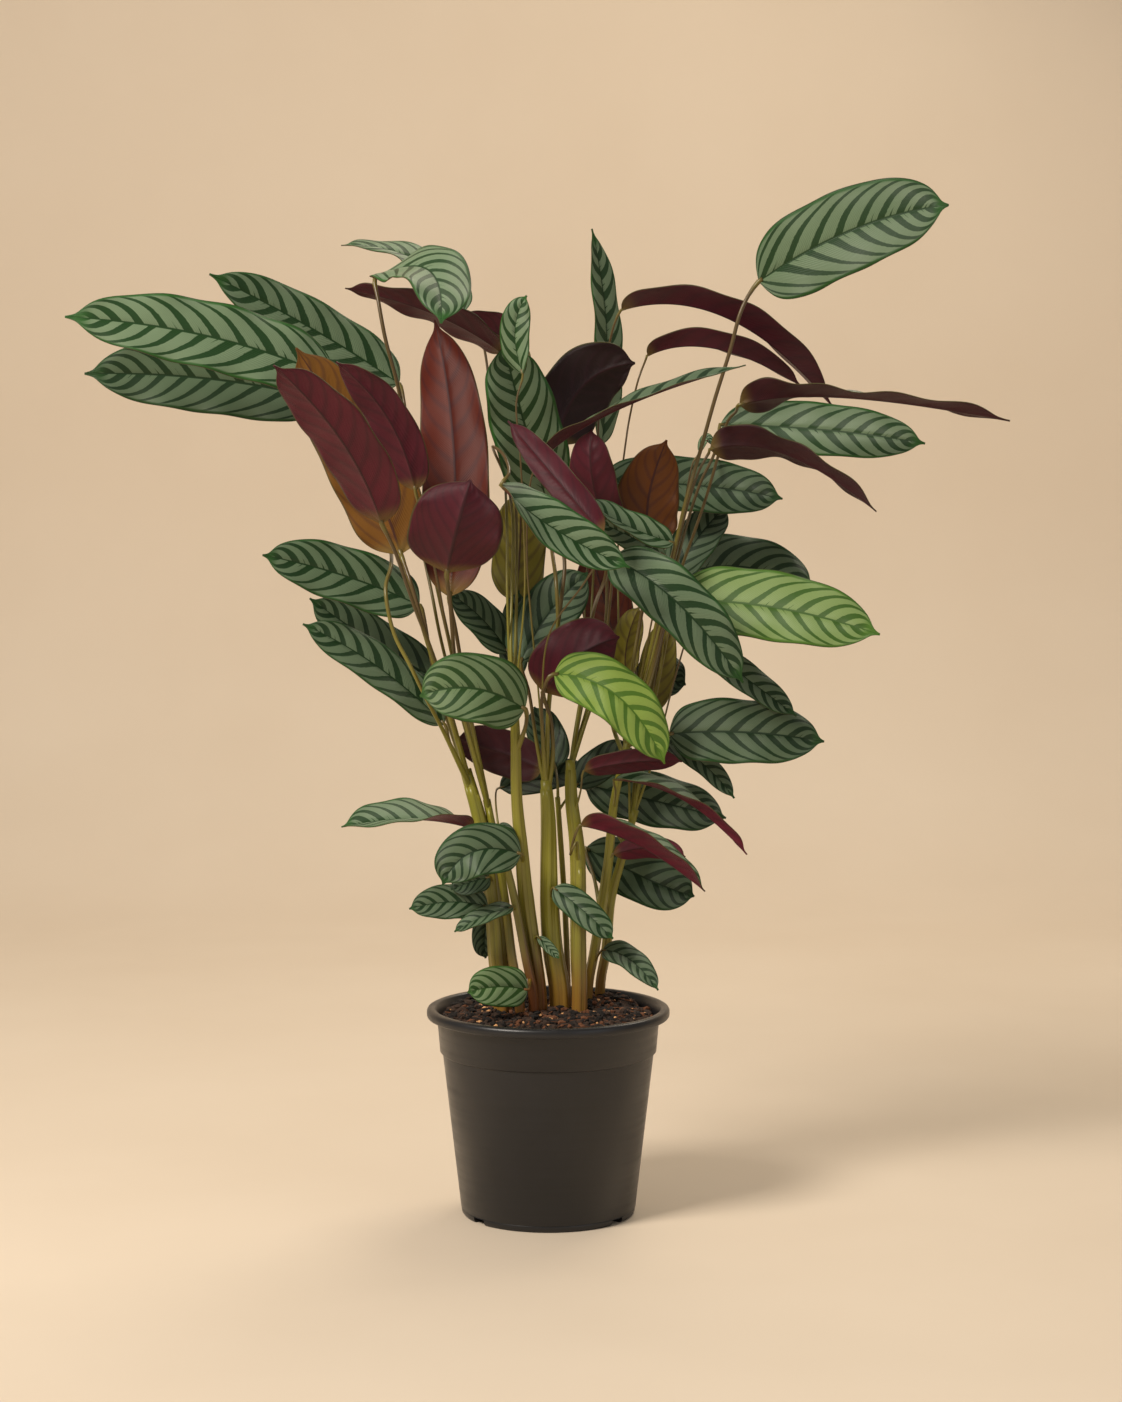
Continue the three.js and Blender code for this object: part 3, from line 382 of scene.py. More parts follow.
# Shoots
# Nine shoots grow from the rootstock. Each row of a shoot is one leaf: its number, the height where its
# stalk leaves the cane, the points of the stalk from the blade down, the base, middle and tip of its
# midrib, its width, and how far the blade is turned there. Places are read on the front elevation:
# across, up, and the depth behind.
SHOOTS = {
  "shoot_1": {
    "root": [-40, 5, 8],
    "cane": [[-43, 221, 8, 8], [-48, 273, 10, 6.6], [-57, 334, 12, 6], [-71, 386, 14, 5]],
    "leaves": [
      [1, 380, [[-160, 670, 8], [-138, 610, 4], [-121, 553, -14], [-108, 510, -12]],
       [-187, 722, 2], [-290, 756, -12], [-410, 772, -22], 62, [25, 22, 20]],
      [3, 370, [[-160, 640, 20], [-138, 585, 12], [-134, 562, -12], [-139, 540, -26],
       [-132, 503, -32], [-118, 475, -38], [-106, 450, -36], [-88, 415, -14]], [-195, 703, 30],
       [-290, 720, 25], [-394, 724, 15], 62, [15, 15, 12]],
      [4, 384, [[-132, 576, -62], [-114, 525, -48], [-97, 480, -30], [-82, 425, -6]],
       [-143, 600, -65], [-176, 668, -90], [-233, 731, -115], 54, [160, 155, 150]],
      [5, 376, [[-117, 545, -26], [-104, 500, -24], [-92, 465, -14]], [-127, 575, -18],
       [-160, 655, -22], [-214, 746, -30], 70, [165, 165, 165]],
      [37, 372, [[-100, 480, 0], [-90, 440, 4]], [-114, 529, -2], [-176, 553, -10],
       [-244, 570, -20], 52, [25, 22, 18]],
      [38, 366, [[-90, 440, 12]], [-98, 465, 20], [-150, 496, 18], [-204, 533, 12], 42,
       [15, 15, 15]],
      [39, 362, [[-84, 408, 0]], [-92, 428, -4], [-148, 476, -10], [-210, 511, -14], 40,
       [40, 30, 20]],
      [45, 315, [[-62, 330, 2]], [-68, 336, -6], [-118, 343, -14], [-178, 336, -22], 44,
       [110, 65, 60]],
      [47, 280, [], [-54, 292, 0], [-68, 288, -6], [-84, 282, -10], 24, [20, 20, 20]],
      [48, 256, [], [-56, 268, -1], [-86, 271, -10], [-120, 265, -16], 32, [20, 20, 20]],
      [50, 264, [[-52, 268, 22]], [-52, 258, 24], [-55, 240, 25], [-54, 222, 25], 22,
       [10, 10, 10]],
    ],
  },
  "shoot_2": {
    "root": [-25, -10, 4],
    "cane": [[-31, 221, -4, 3.8], [-37, 273, 4, 3.4], [-44, 316, 10, 3.2], [-53, 360, 16, 3.4]],
    "leaves": [
      [2, 352, [[-118, 660, 48], [-112, 600, 35], [-100, 540, 22], [-90, 490, 18]],
       [-130, 718, 55], [-200, 762, 45], [-287, 808, 28], 50, [30, 25, 20]],
      [6, 350, [[-107, 600, -38], [-95, 550, -30], [-84, 490, -18]], [-114, 629, -40],
       [-137, 688, -50], [-180, 734, -60], 38, [165, 160, 140]],
      [7, 356, [[-79, 505, -10], [-70, 450, -2]], [-84, 539, -12], [-80, 655, 0], [-96, 769, 8],
       58, [170, 170, 170]],
      [8, 345, [[-144, 786, 8], [-138, 753, 6], [-128, 715, 8], [-116, 650, 18], [-105, 590, 18],
       [-90, 520, 14]], [-143, 806, 10], [-101, 811, -8], [-91, 766, -30], 64, [100, 42, 10]],
      [9, 358, [[-84, 530, -45], [-76, 450, -20]], [-86, 558, -54], [-77, 596, -60],
       [-66, 634, -56], 80, [175, 175, 175]],
    ],
  },
  "shoot_3": {
    "root": [-13, -5, 4.2],
    "cane": [[-19, 221, -8, 4], [-29, 273, -8, 3.5], [-39, 316, -8, 3]],
    "leaves": [
      [43, 312, [[-45, 366, 22], [-44, 345, 0]], [-38, 371, 40], [0, 380, 56], [34, 388, 56], 28,
       [25, 25, 25]],
      [49, 262, [], [-34, 266, -15], [-58, 258, -24], [-81, 245, -30], 22, [50, 50, 50]],
      [51, 205, [], [-21, 195, -22], [-45, 197, -38], [-70, 192, -50], 36, [12, 10, 8]],
      [73, 310, [], [-40, 336, -15], [-34, 332, -16], [-27, 320, -16], 10, [20, 20, 20]],
    ],
  },
  "shoot_4": {
    "root": [-7, 5, 5],
    "cane": [[-11, 221, 2, 5.5], [-19, 273, 0, 6.6], [-23, 316, -5, 5.5], [-27, 360, -14, 4.4],
             [-28, 411, -20, 3.8],
             [-29, 440, -14, 3.2]],
    "leaves": [
      [10, 430, [[-66, 768, 48], [-56, 752, 52], [-48, 700, 46], [-38, 650, 28], [-36, 620, 14],
       [-35, 590, 4], [-35, 540, -4], [-33, 480, -8]], [-74, 779, 47], [-112, 820, 52], [-175, 832, 44],
       40, [20, 60, 80]],
      [11, 434, [[-34, 700, 30], [-30, 650, 24], [-27, 600, 14], [-27, 540, 4], [-28, 480, -4]],
       [-42, 744, 26], [-100, 776, 26], [-172, 796, 28], 46, [120, 118, 115]],
      [12, 436, [[-16, 700, 66], [-14, 640, 58], [-12, 560, 50], [-18, 490, 34]], [-20, 745, 72],
       [-48, 760, 75], [-79, 765, 70], 36, [150, 150, 150]],
      [14, 438, [[-27, 700, -16], [-24, 660, -16], [-21, 600, -16], [-20, 540, -18],
       [-25, 480, -18]], [-23, 728, -16], [-28, 762, -18], [-18, 790, -20], 26, [60, 10, 30]],
      [22, 432, [[-34, 638, -60], [-36, 652, -46], [-46, 662, -12], [-45, 656, 18], [-36, 635, 24],
       [-30, 600, 12], [-31, 540, 2], [-32, 490, -8]], [-37, 626, -62], [6, 592, -60], [70, 559, -62], 44,
       [85, 28, 25]],
      [40, 400, [[-19, 425, -30]], [-23, 440, -38], [-66, 456, -50], [-110, 449, -54], 62,
       [20, 15, 10]],
      [46, 303, [], [-27, 314, -20], [-66, 314, -38], [-91, 286, -42], 46, [20, 10, 5]],
      [54, 236, [], [-6, 238, -7], [1, 231, -8], [9, 222, -9], 10, [20, 20, 20]],
      [70, 433, [[-34, 465, 6]], [-36, 490, 15], [-58, 517, 12], [-84, 537, 10], 32, [20, 20, 20]],
      [72, 436, [[-28, 500, 30]], [-28, 534, 32], [-24, 580, 38], [-24, 625, 42], 46,
       [170, 170, 170]],
      [74, 437, [], [-28, 466, 16], [-29, 503, 27], [-25, 540, 27], 26, [15, 15, 15]],
    ],
  },
  "shoot_5": {
    "root": [10, 16, 8.5],
    "cane": [[4, 229, 15, 8.2], [1, 273, 13, 7.8], [0, 342, 10, 6], [-2, 377, 8, 4.6]],
    "leaves": [
      [13, 372, [[3, 603, 20], [14, 565, 2], [11, 530, -2], [6, 490, -3], [0, 430, 2]],
       [0, 612, 22], [-21, 685, 4], [-38, 750, -6], 62, [15, 15, 15]],
      [16, 374, [[5, 650, 36], [3, 615, 34], [3, 578, 12], [7, 545, -4], [8, 505, -4],
       [1, 450, -2]], [8, 668, 36], [31, 715, 40], [74, 733, 42], 62, [160, 160, 155]],
      [17, 376, [[-13, 640, -8], [-17, 615, -8], [-18, 565, -8], [-14, 510, -8], [-9, 460, -5]],
       [-2, 656, -10], [66, 697, -20], [168, 731, -26], 24, [125, 80, 70]],
      [19, 374, [[45, 570, -38], [30, 545, -32], [2, 505, -26], [-5, 450, -10]], [44, 592, -44],
       [6, 637, -38], [-34, 684, -28], 28, [165, 165, 160]],
      [42, 350, [[-4, 376, 14]], [-8, 388, 20], [-44, 402, 30], [-79, 413, 32], 40,
       [170, 168, 165]],
      [52, 264, [], [8, 281, -3], [32, 262, -11], [56, 239, -15], 26, [15, 15, 15]],
      [61, 368, [[1, 466, -22], [-5, 450, -16], [-5, 420, -6]], [9, 468, -22], [61, 448, -36],
       [100, 391, -36], 50, [15, 15, 15]],
      [68, 362, [[2, 430, 0], [4, 400, 4]], [-2, 456, -8], [26, 484, -12], [61, 500, -6], 60,
       [170, 175, 175]],
      [69, 366, [[-17, 455, 2], [-10, 410, 6]], [-22, 482, 4], [2, 522, 12], [34, 555, 14], 50,
       [15, 15, 15]],
    ],
  },
  "shoot_6": {
    "root": [17, 30, 2.6],
    "cane": [[16, 229, 28, 2.6], [14, 273, 26, 2.5], [8, 362, 24, 2.3]],
    "leaves": [
      [44, 356, [[8, 375, 28]], [5, 392, 42], [-2, 415, 44], [-12, 440, 42], 34, [15, 15, 15]],
      [75, 350, [[18, 364, 32]], [26, 374, 36], [50, 394, 38], [72, 404, 38], 30, [15, 15, 15]],
    ],
  },
  "shoot_7": {
    "root": [27, 5, 6.5],
    "cane": [[26, 229, 6, 6.5], [25, 316, 8, 6], [20, 360, 10, 5], [19, 394, 12, 4]],
    "leaves": [
      [15, 388, [[44, 650, 68], [38, 600, 50], [32, 540, 46], [30, 470, 40], [24, 420, 24]],
       [46, 668, 72], [50, 757, 74], [37, 846, 70], 32, [45, 45, 45]],
      [20, 386, [[55, 560, 4], [52, 520, 12], [46, 470, 20], [30, 420, 16]], [52, 589, -2],
       [38, 634, -12], [37, 677, -16], 40, [170, 168, 165]],
      [25, 385, [[48, 548, -12], [38, 518, 24], [30, 460, 30], [24, 420, 20]], [58, 566, -28],
       [114, 526, -44], [167, 461, -50], 54, [25, 20, 15]],
      [28, 390, [[46, 610, 30], [50, 560, 36], [48, 500, 38], [34, 440, 32]], [50, 632, 34],
       [130, 629, 36], [200, 618, 34], 48, [15, 15, 12]],
      [31, 392, [[56, 765, 42], [50, 738, 46], [44, 700, 54], [42, 660, 50], [40, 600, 42],
       [38, 540, 42], [32, 460, 36]], [66, 779, 40], [155, 770, 32], [242, 696, 56], 36, [95, 112, 150]],
      [57, 303, [[19, 312, -8], [24, 324, -12]], [32, 337, -12], [83, 318, -22], [135, 280, -26],
       38, [100, 84, 85]],
      [60, 345, [[28, 368, 0]], [35, 386, -4], [75, 393, -12], [115, 393, -14], 24,
       [145, 145, 145]],
    ],
  },
  "shoot_8": {
    "root": [35, 43, 4],
    "cane": [[40, 229, 40, 4], [47, 273, 38, 4], [52, 308, 34, 3.8], [57, 360, 28, 3.4],
             [69, 411, 20, 3]],
    "leaves": [
      [21, 405, [[88, 565, 6], [80, 520, 10], [72, 470, 10]], [90, 577, 4], [85, 615, 0],
       [101, 668, -2], 56, [170, 165, 165]],
      [23, 407, [[106, 570, -14], [96, 520, -4], [84, 470, 6]], [103, 582, -18], [66, 596, -22],
       [28, 619, -25], 27, [25, 45, 75]],
      [24, 404, [[94, 540, -2], [82, 480, 6]], [96, 572, -8], [70, 586, -12], [44, 598, -16], 26,
       [20, 20, 20]],
      [26, 408, [[100, 515, -2], [90, 475, 4]], [112, 531, -8], [195, 525, -18], [284, 502, -28],
       64, [25, 22, 18]],
      [29, 402, [[102, 530, 40], [90, 470, 34]], [108, 552, 44], [128, 585, 46], [152, 612, 48],
       38, [20, 20, 20]],
      [30, 409, [[170, 790, -4], [163, 775, -5], [155, 745, -4], [142, 703, -2], [130, 660, 0],
       [118, 618, 0], [109, 580, 2], [100, 545, 3], [88, 490, 8]], [182, 804, -4], [260, 846, -25],
       [339, 866, -40], 72, [15, 15, 15]],
      [32, 400, [[83, 736, 22], [77, 720, 18], [70, 690, 26], [66, 665, 42], [63, 640, 50],
       [60, 590, 52], [60, 520, 46], [62, 450, 30]], [88, 741, 24], [145, 745, 22], [216, 713, 38], 30,
       [100, 122, 125]],
      [34, 406, [[146, 672, 40], [141, 655, 34], [130, 632, 24], [118, 595, 14], [104, 540, 12],
       [86, 470, 14]], [151, 681, 42], [240, 676, 36], [321, 665, 28], 46, [15, 15, 12]],
      [35, 403, [[137, 657, 6], [130, 645, 6], [121, 620, 6], [111, 580, 10], [98, 520, 14],
       [82, 460, 16]], [142, 661, 8], [205, 655, -2], [280, 607, -14], 40, [170, 114, 118]],
      [36, 401, [[124, 650, 12], [114, 600, 12], [100, 540, 18]], [130, 661, 12], [135, 670, 12],
       [140, 663, 12], 8, [30, 30, 30]],
      [53, 215, [[44, 226, 34]], [50, 229, 26], [72, 220, 8], [95, 194, -8], 24, [30, 30, 30]],
      [55, 262, [[40, 290, 52]], [36, 316, 74], [88, 290, 68], [126, 276, 56], 48, [15, 15, 15]],
      [56, 292, [], [60, 314, 30], [92, 318, 27], [118, 310, 22], 20, [160, 160, 160]],
      [59, 352, [[58, 368, 12]], [61, 377, 2], [118, 359, -12], [171, 312, -20], 26,
       [70, 80, 125]],
      [62, 407, [[88, 414, 10]], [108, 417, -2], [170, 418, -8], [237, 410, -12], 58,
       [18, 18, 18]],
      [63, 398, [[88, 410, 18]], [103, 409, 14], [133, 391, 8], [160, 361, 2], 21, [25, 25, 25]],
      [71, 396, [[55, 480, 52], [54, 430, 40]], [55, 505, 58], [46, 540, 58], [36, 575, 58], 46,
       [165, 165, 165]],
    ],
  },
  "shoot_9": {
    "root": [46, 60, 4],
    "cane": [[50, 229, 58, 4], [54, 273, 56, 4], [63, 308, 54, 3.6], [75, 351, 52, 3.2]],
    "leaves": [
      [27, 346, [[108, 540, 60], [95, 490, 54]], [112, 552, 64], [165, 560, 66], [228, 540, 58],
       56, [25, 22, 20]],
      [33, 345, [[160, 692, 14], [153, 684, 20], [145, 655, 20], [135, 620, 24], [125, 590, 30],
       [113, 555, 34], [98, 480, 42]], [167, 699, 8], [255, 704, 2], [393, 684, -6], 46, [155, 93, 125]],
      [58, 320, [[48, 350, 70]], [36, 372, 74], [95, 358, 74], [153, 344, 62], 50, [25, 25, 25]],
      [64, 343, [[110, 470, 40], [92, 400, 48]], [125, 497, 10], [168, 466, -4], [213, 432, -16],
       28, [25, 25, 25]],
      [65, 340, [[78, 440, 64]], [80, 474, 72], [98, 466, 72], [118, 459, 70], 42, [20, 20, 20]],
      [66, 342, [[80, 410, 54]], [86, 440, 58], [94, 475, 58], [100, 515, 58], 32,
       [170, 170, 170]],
      [67, 335, [[68, 430, 42]], [66, 470, 26], [68, 498, 26], [78, 526, 28], 26, [165, 165, 165]],
    ],
  },
}

# The crown opens like a fan: towards the top each depth grows by FAN.
FAN = 2.5
FAN_FROM = 340
FAN_TO = 640


def smooth_step(value, low, high):
    share = min(max((value - low) / (high - low), 0), 1)
    return share * share * (3 - 2 * share)


def sight(place):
    """The point, in millimetres, at a depth behind a place on the front elevation, as the eye sees it."""
    across, up, back = place[:3]
    deep = back * (1 + (FAN - 1) * smooth_step(up, FAN_FROM, FAN_TO))
    return EYE + (Vector((across, 0, up)) - EYE) * (deep - EYE.y) / -EYE.y


# Leaf blades
# Each leaf is one thin blade: pale silver-green above with dark feathered bars, crimson beneath. It is
# broad and blunt with a narrow drip tip, a sunken midrib and a wavy margin.
BLADE_THICKNESS = 0.6
CUP = 0.1
WING = 0.26
ROWS_ALONG = 60
ROWS_ACROSS = 22
WIDE = [(0, 0.05), (0.015, 0.3), (0.04, 0.56), (0.08, 0.76), (0.14, 0.9), (0.22, 0.98), (0.34, 1), (0.5, 1),
        (0.62, 0.96), (0.73, 0.87), (0.82, 0.74), (0.88, 0.58), (0.92, 0.41), (0.945, 0.25), (0.962, 0.13),
        (0.978, 0.07), (1, 0.025)]


def half_width(t):
    """The share of the leaf's half-width at a share of its length, on a smooth curve through WIDE."""
    i = next(n for n in range(len(WIDE) - 1) if t <= WIDE[n + 1][0] or n == len(WIDE) - 2)
    slopes = []
    for n in (i, i + 1):
        low, high = WIDE[max(n - 1, 0)], WIDE[min(n + 1, len(WIDE) - 1)]
        slopes.append((high[1] - low[1]) / (high[0] - low[0]))
    (t0, w0), (t1, w1) = WIDE[i], WIDE[i + 1]
    step = t1 - t0
    x = (t - t0) / step
    bend = (1 - x) ** 2 * x * slopes[0] * step - (1 - x) * x * x * slopes[1] * step
    return w0 * (1 + 2 * x) * (1 - x) ** 2 + w1 * x * x * (3 - 2 * x) + bend


def midrib(row):
    """The points that draw the midrib as a quadratic curve: base, control and tip."""
    base, middle, tip = (sight(place) for place in row[3:6])
    return base, 2 * middle - 0.5 * (base + tip), tip


def on_midrib(curve, t):
    base, control, tip = curve
    place = base * (1 - t) ** 2 + control * 2 * t * (1 - t) + tip * t * t
    return place, ((control - base) * (1 - t) + (tip - control) * t).normalized()


# Leaves folded along the midrib: how far their margins rise, as a share of the half-width.
FOLDED = {
    4: 0.12, 9: 0.1, 17: 0.3, 22: 0.2, 23: 0.3, 31: 0.6, 32: 0.5, 33: 0.15, 35: 0.15, 45: 0.3, 57: 0.6,
    59: 0.4,
}
# How young each leaf is: 0 for a grown one, 1 for one just unrolled, which is brighter and yellower.
YOUNG = {
    26: 0.5, 40: 0.18, 51: 0.2, 61: 1.0, 66: 0.6, 67: 0.8,
}
# Painted backlight: how far each leaf's crimson underside is painted rust and then amber, as if lit from
# behind.
PAINTED_BACKLIGHT = {
    5: 0.85, 7: 0.5, 9: 0.05, 21: 0.8, 66: 1.0, 67: 1.0, 71: 0.55, 72: 1.0,
}
# How much painted shade darkens each leaf that hangs deep in the crown, where little light reaches it.
CROWN_SHADE = {
    2: 0.15, 3: 0.6, 6: 0.25, 9: 0.45, 11: 0.4, 12: 0.2, 16: 1.0, 17: 0.6, 19: 0.45, 20: 0.4, 25: 0.25,
    27: 0.5, 28: 0.6, 29: 0.6, 30: 0.35, 31: 0.5, 32: 0.5, 33: 0.7, 35: 0.8, 37: 0.4, 38: 0.7, 39: 0.5,
    40: 0.25, 42: 0.7, 43: 0.9, 44: 0.9, 46: 0.5, 47: 0.9, 48: 0.5, 49: 0.4, 50: 0.8, 52: 0.4, 53: 0.5,
    55: 0.7, 58: 0.6, 60: 0.4, 62: 0.5, 63: 0.5, 64: 0.4, 65: 0.9, 68: 0.35, 69: 0.6, 70: 0.5, 73: 0.8,
    74: 0.7, 75: 0.9,
}


def feather(tree):
    """What both faces share: how far a point is from a bar, the bar's number, and the fine veins between."""
    bars = add(tree, "SeparateXYZ", {0: add(tree, "UVMap", uv_map="feather")})
    blade = add(tree, "SeparateXYZ", {0: add(tree, "UVMap", uv_map="blade")})
    coords = add(tree, "TexCoord").outputs["Object"]
    sway = add(tree, "TexNoise", {"Vector": coords, "Scale": 45.0, "Detail": 2.0})
    sway = add(tree, "Math", {0: sway, 1: 0.16, 2: -0.08}, operation="MULTIPLY_ADD")
    jag = add(tree, "TexNoise", {"Vector": coords, "Scale": 420.0, "Detail": 2.0})
    jag = add(tree, "Math", {0: jag, 1: 0.07, 2: -0.035}, operation="MULTIPLY_ADD")
    phase = add(tree, "Math", {0: bars.outputs["X"], 1: sway}, operation="ADD")
    phase = add(tree, "Math", {0: phase, 1: jag}, operation="ADD")
    turn = add(tree, "Math", {0: phase}, operation="FRACT")
    away = add(tree, "Math", {0: add(tree, "Math", {0: turn, 1: 0.5}, operation="SUBTRACT")},
               operation="ABSOLUTE")
    number = add(tree, "Math", {0: bars.outputs["X"]}, operation="FLOOR")
    chance = add(tree, "TexWhiteNoise", {"W": number}, noise_dimensions="1D")
    veins = add(tree, "Math", {0: bars.outputs["X"], 1: math.tau * 11}, operation="MULTIPLY")
    veins = add(tree, "Math", {0: veins}, operation="SINE")
    side = add(tree, "Math", {0: blade.outputs["Y"]}, operation="ABSOLUTE")
    return away, chance, veins, side, blade.outputs["X"], coords


upper, tree, shader = new_material("waxy leaf upper face", 0.38)
# The upper face is waxed but not shiny: silver-green cells over darker tissue, so light slides softly
# along the bars. They taper towards the margin, and a short one often stands between two long ones.
away, chance, veins, side, along, coords = feather(tree)
reach = add(tree, "MapRange", {"Value": side, 1: 0.0, 2: 1.0, 3: 0.165, 4: 0.12})
reach = add(tree, "Math", {0: add(tree, "Math", {0: chance, 1: 0.07}, operation="MULTIPLY"), 1: reach},
            operation="ADD")
tip_end = add(tree, "MapRange", {"Value": along, 1: 0.72, 2: 0.97, 3: 0.0, 4: 0.12})
reach = add(tree, "Math", {0: reach, 1: tip_end}, operation="ADD")
bar = add(tree, "Math", {0: reach, 1: away}, operation="SUBTRACT")
bar = add(tree, "MapRange", {"Value": bar, 1: -0.012, 2: 0.018}, interpolation_type="SMOOTHSTEP")
near = add(tree, "Math", {0: 0.5, 1: away}, operation="SUBTRACT")
short = add(tree, "MapRange", {"Value": side, 1: 0.02, 2: 0.4, 3: 0.06, 4: -0.04})
pick = add(tree, "Math", {0: chance, 1: 0.62}, operation="GREATER_THAN")
short = add(tree, "Math", {0: add(tree, "Math", {0: short, 1: near}, operation="SUBTRACT"), 1: pick},
            operation="MULTIPLY")
short = add(tree, "MapRange", {"Value": short, 1: 0.0, 2: 0.02}, interpolation_type="SMOOTHSTEP")
bar = add(tree, "Math", {0: bar, 1: short}, operation="MAXIMUM")
young = add(tree, "Attribute", attribute_name="young").outputs["Fac"]
deep = add(tree, "Attribute", attribute_name="deep").outputs["Fac"]
cloud = add(tree, "TexNoise", {"Vector": coords, "Scale": 16.0, "Detail": 3.0})
silver = add(tree, "Mix", {"Factor": cloud, 6: linear("#637a5b"), 7: linear("#7c9070")},
             data_type="RGBA").outputs[2]
# Each tissue's colour on a grown leaf, on a young one, and darkened with painted shade deep in the crown.
tissues = []
for tissue, on_young, on_shaded in ((silver, "#8ba64c", "#3c4f38"), (linear("#1c3d17"), "#4c7220", "#0f2410"),
                                  (linear("#2a5a20"), "#62882a", "#173214")):
    for factor, colour in ((young, on_young), (deep, on_shaded)):
        tissue = add(tree, "Mix", {"Factor": factor, 6: tissue, 7: linear(colour)},
                     data_type="RGBA").outputs[2]
    tissues.append(tissue)
silver, green, rim_green = tissues
vein_dark = add(tree, "MapRange", {"Value": veins, 1: 0.2, 2: 1.0, 3: 0.0, 4: 0.22})
margin = add(tree, "MapRange", {"Value": side, 1: 0.88, 2: 0.95}, interpolation_type="SMOOTHSTEP")
tip = add(tree, "MapRange", {"Value": along, 1: 0.9, 2: 0.96}, interpolation_type="SMOOTHSTEP")
edge = add(tree, "Math", {0: margin, 1: tip}, operation="MAXIMUM")
rib = add(tree, "MapRange", {"Value": side, 1: 0.022, 2: 0.05, 3: 1.0, 4: 0.0},
          interpolation_type="SMOOTHSTEP")
lip = add(tree, "MapRange", {"Value": side, 1: 0.975, 2: 0.995, 3: 0.0, 4: 0.7})
face = silver
for factor, colour in ((vein_dark, green), (bar, green), (edge, rim_green), (rib, green),
                       (lip, linear("#3a3222"))):
    face = add(tree, "Mix", {"Factor": factor, 6: face, 7: colour}, data_type="RGBA").outputs[2]
tree.links.new(face, shader.inputs["Base Color"])
shine = add(tree, "MapRange", {"Value": cloud, 1: 0.3, 2: 0.7, 3: 0.38, 4: 0.5})
tree.links.new(shine.outputs[0], shader.inputs["Roughness"])
relief = add(tree, "Bump", {"Height": veins, "Strength": 0.35, "Distance": 0.0003})
tree.links.new(relief.outputs[0], shader.inputs["Normal"])
shader.inputs["Specular IOR Level"].default_value = 0.36

under, tree, shader = new_material("velvety crimson leaf underside", 0.48)
# Beneath, a layer of crimson cells hides the green, with a soft velvet sheen. Painted backlight turns it
# amber, and the bars still show as broad darker folds. The base of the blade stays yellow-green.
away, chance, veins, side, along, coords = feather(tree)
glow = add(tree, "Attribute", attribute_name="glow").outputs["Fac"]
deep = add(tree, "Attribute", attribute_name="deep").outputs["Fac"]
cloud = add(tree, "TexNoise", {"Vector": coords, "Scale": 22.0, "Detail": 4.0})
crimson = add(tree, "Mix", {"Factor": cloud, 6: linear("#4c1122"), 7: linear("#6e1a30")},
              data_type="RGBA").outputs[2]
# Painted shade: leaves deep in the crown turn towards near-black.
crimson = add(tree, "Mix", {"Factor": deep, 6: crimson, 7: linear("#210b0c")}, data_type="RGBA").outputs[2]
# Painted backlight: the underside runs from rust to amber where light would shine through it.
amber = add(tree, "ValToRGB", {"Fac": glow})
amber.color_ramp.elements[0].color = linear("#571724")
amber.color_ramp.elements[1].color = linear("#7c7220")
amber.color_ramp.elements.new(0.5).color = linear("#5a1c0a")
amber.color_ramp.elements.new(0.82).color = linear("#6e3d0c")
lit = add(tree, "MapRange", {"Value": glow, 1: 0.0, 2: 0.3})
face = add(tree, "Mix", {"Factor": lit, 6: crimson, 7: amber.outputs[0]}, data_type="RGBA").outputs[2]
fold = add(tree, "MapRange", {"Value": away, 1: 0.02, 2: 0.26, 3: 0.38, 4: 0.0},
           interpolation_type="SMOOTHSTEP")
vein_dark = add(tree, "MapRange", {"Value": veins, 1: 0.1, 2: 1.0, 3: 0.0, 4: 0.16})
rib = add(tree, "MapRange", {"Value": side, 1: 0.02, 2: 0.05, 3: 0.8, 4: 0.0},
          interpolation_type="SMOOTHSTEP")
foot = add(tree, "MapRange", {"Value": along, 1: 0.0, 2: 0.09, 3: 0.6, 4: 0.0},
           interpolation_type="SMOOTHSTEP")
lip = add(tree, "MapRange", {"Value": side, 1: 0.955, 2: 0.985, 3: 0.0, 4: 0.8})
for factor, colour in ((fold, "#2e0f1a"), (vein_dark, "#2e0f1a"), (rib, "#331218"), (foot, "#7c6a2e"),
                       (lip, "#4b4a22")):
    face = add(tree, "Mix", {"Factor": factor, 6: face, 7: linear(colour)}, data_type="RGBA").outputs[2]
tree.links.new(face, shader.inputs["Base Color"])
relief = add(tree, "Bump", {"Height": veins, "Strength": 0.4, "Distance": 0.0003})
tree.links.new(relief.outputs[0], shader.inputs["Normal"])
shader.inputs["Sheen Weight"].default_value = 0.03
shader.inputs["Sheen Roughness"].default_value = 0.4
shader.inputs["Specular IOR Level"].default_value = 0.3

# How far a blade reaches back over its stalk, then the shape of its bars, margin, midrib and pleats.
LIVE_BASE = 4.0
BAR_SPACING = 46
BAR_CROWDING = 0.3
BAR_LEAN = 1.15
BAR_CURVE = 0.9
MARGIN_WAVE = 0.036
GROOVE_DEPTH = 0.7
GROOVE_WIDTH = 1.5
PLEAT_HEIGHT = 0.45


def bar_count(bars, t, share, half):
    """How many bars lie between the leaf's base and this point: bars lean to the tip and crowd there."""
    x = abs(share)
    return bars * (t + BAR_CROWDING * t ** 3 - half * (BAR_LEAN * x + BAR_CURVE * x ** 4))


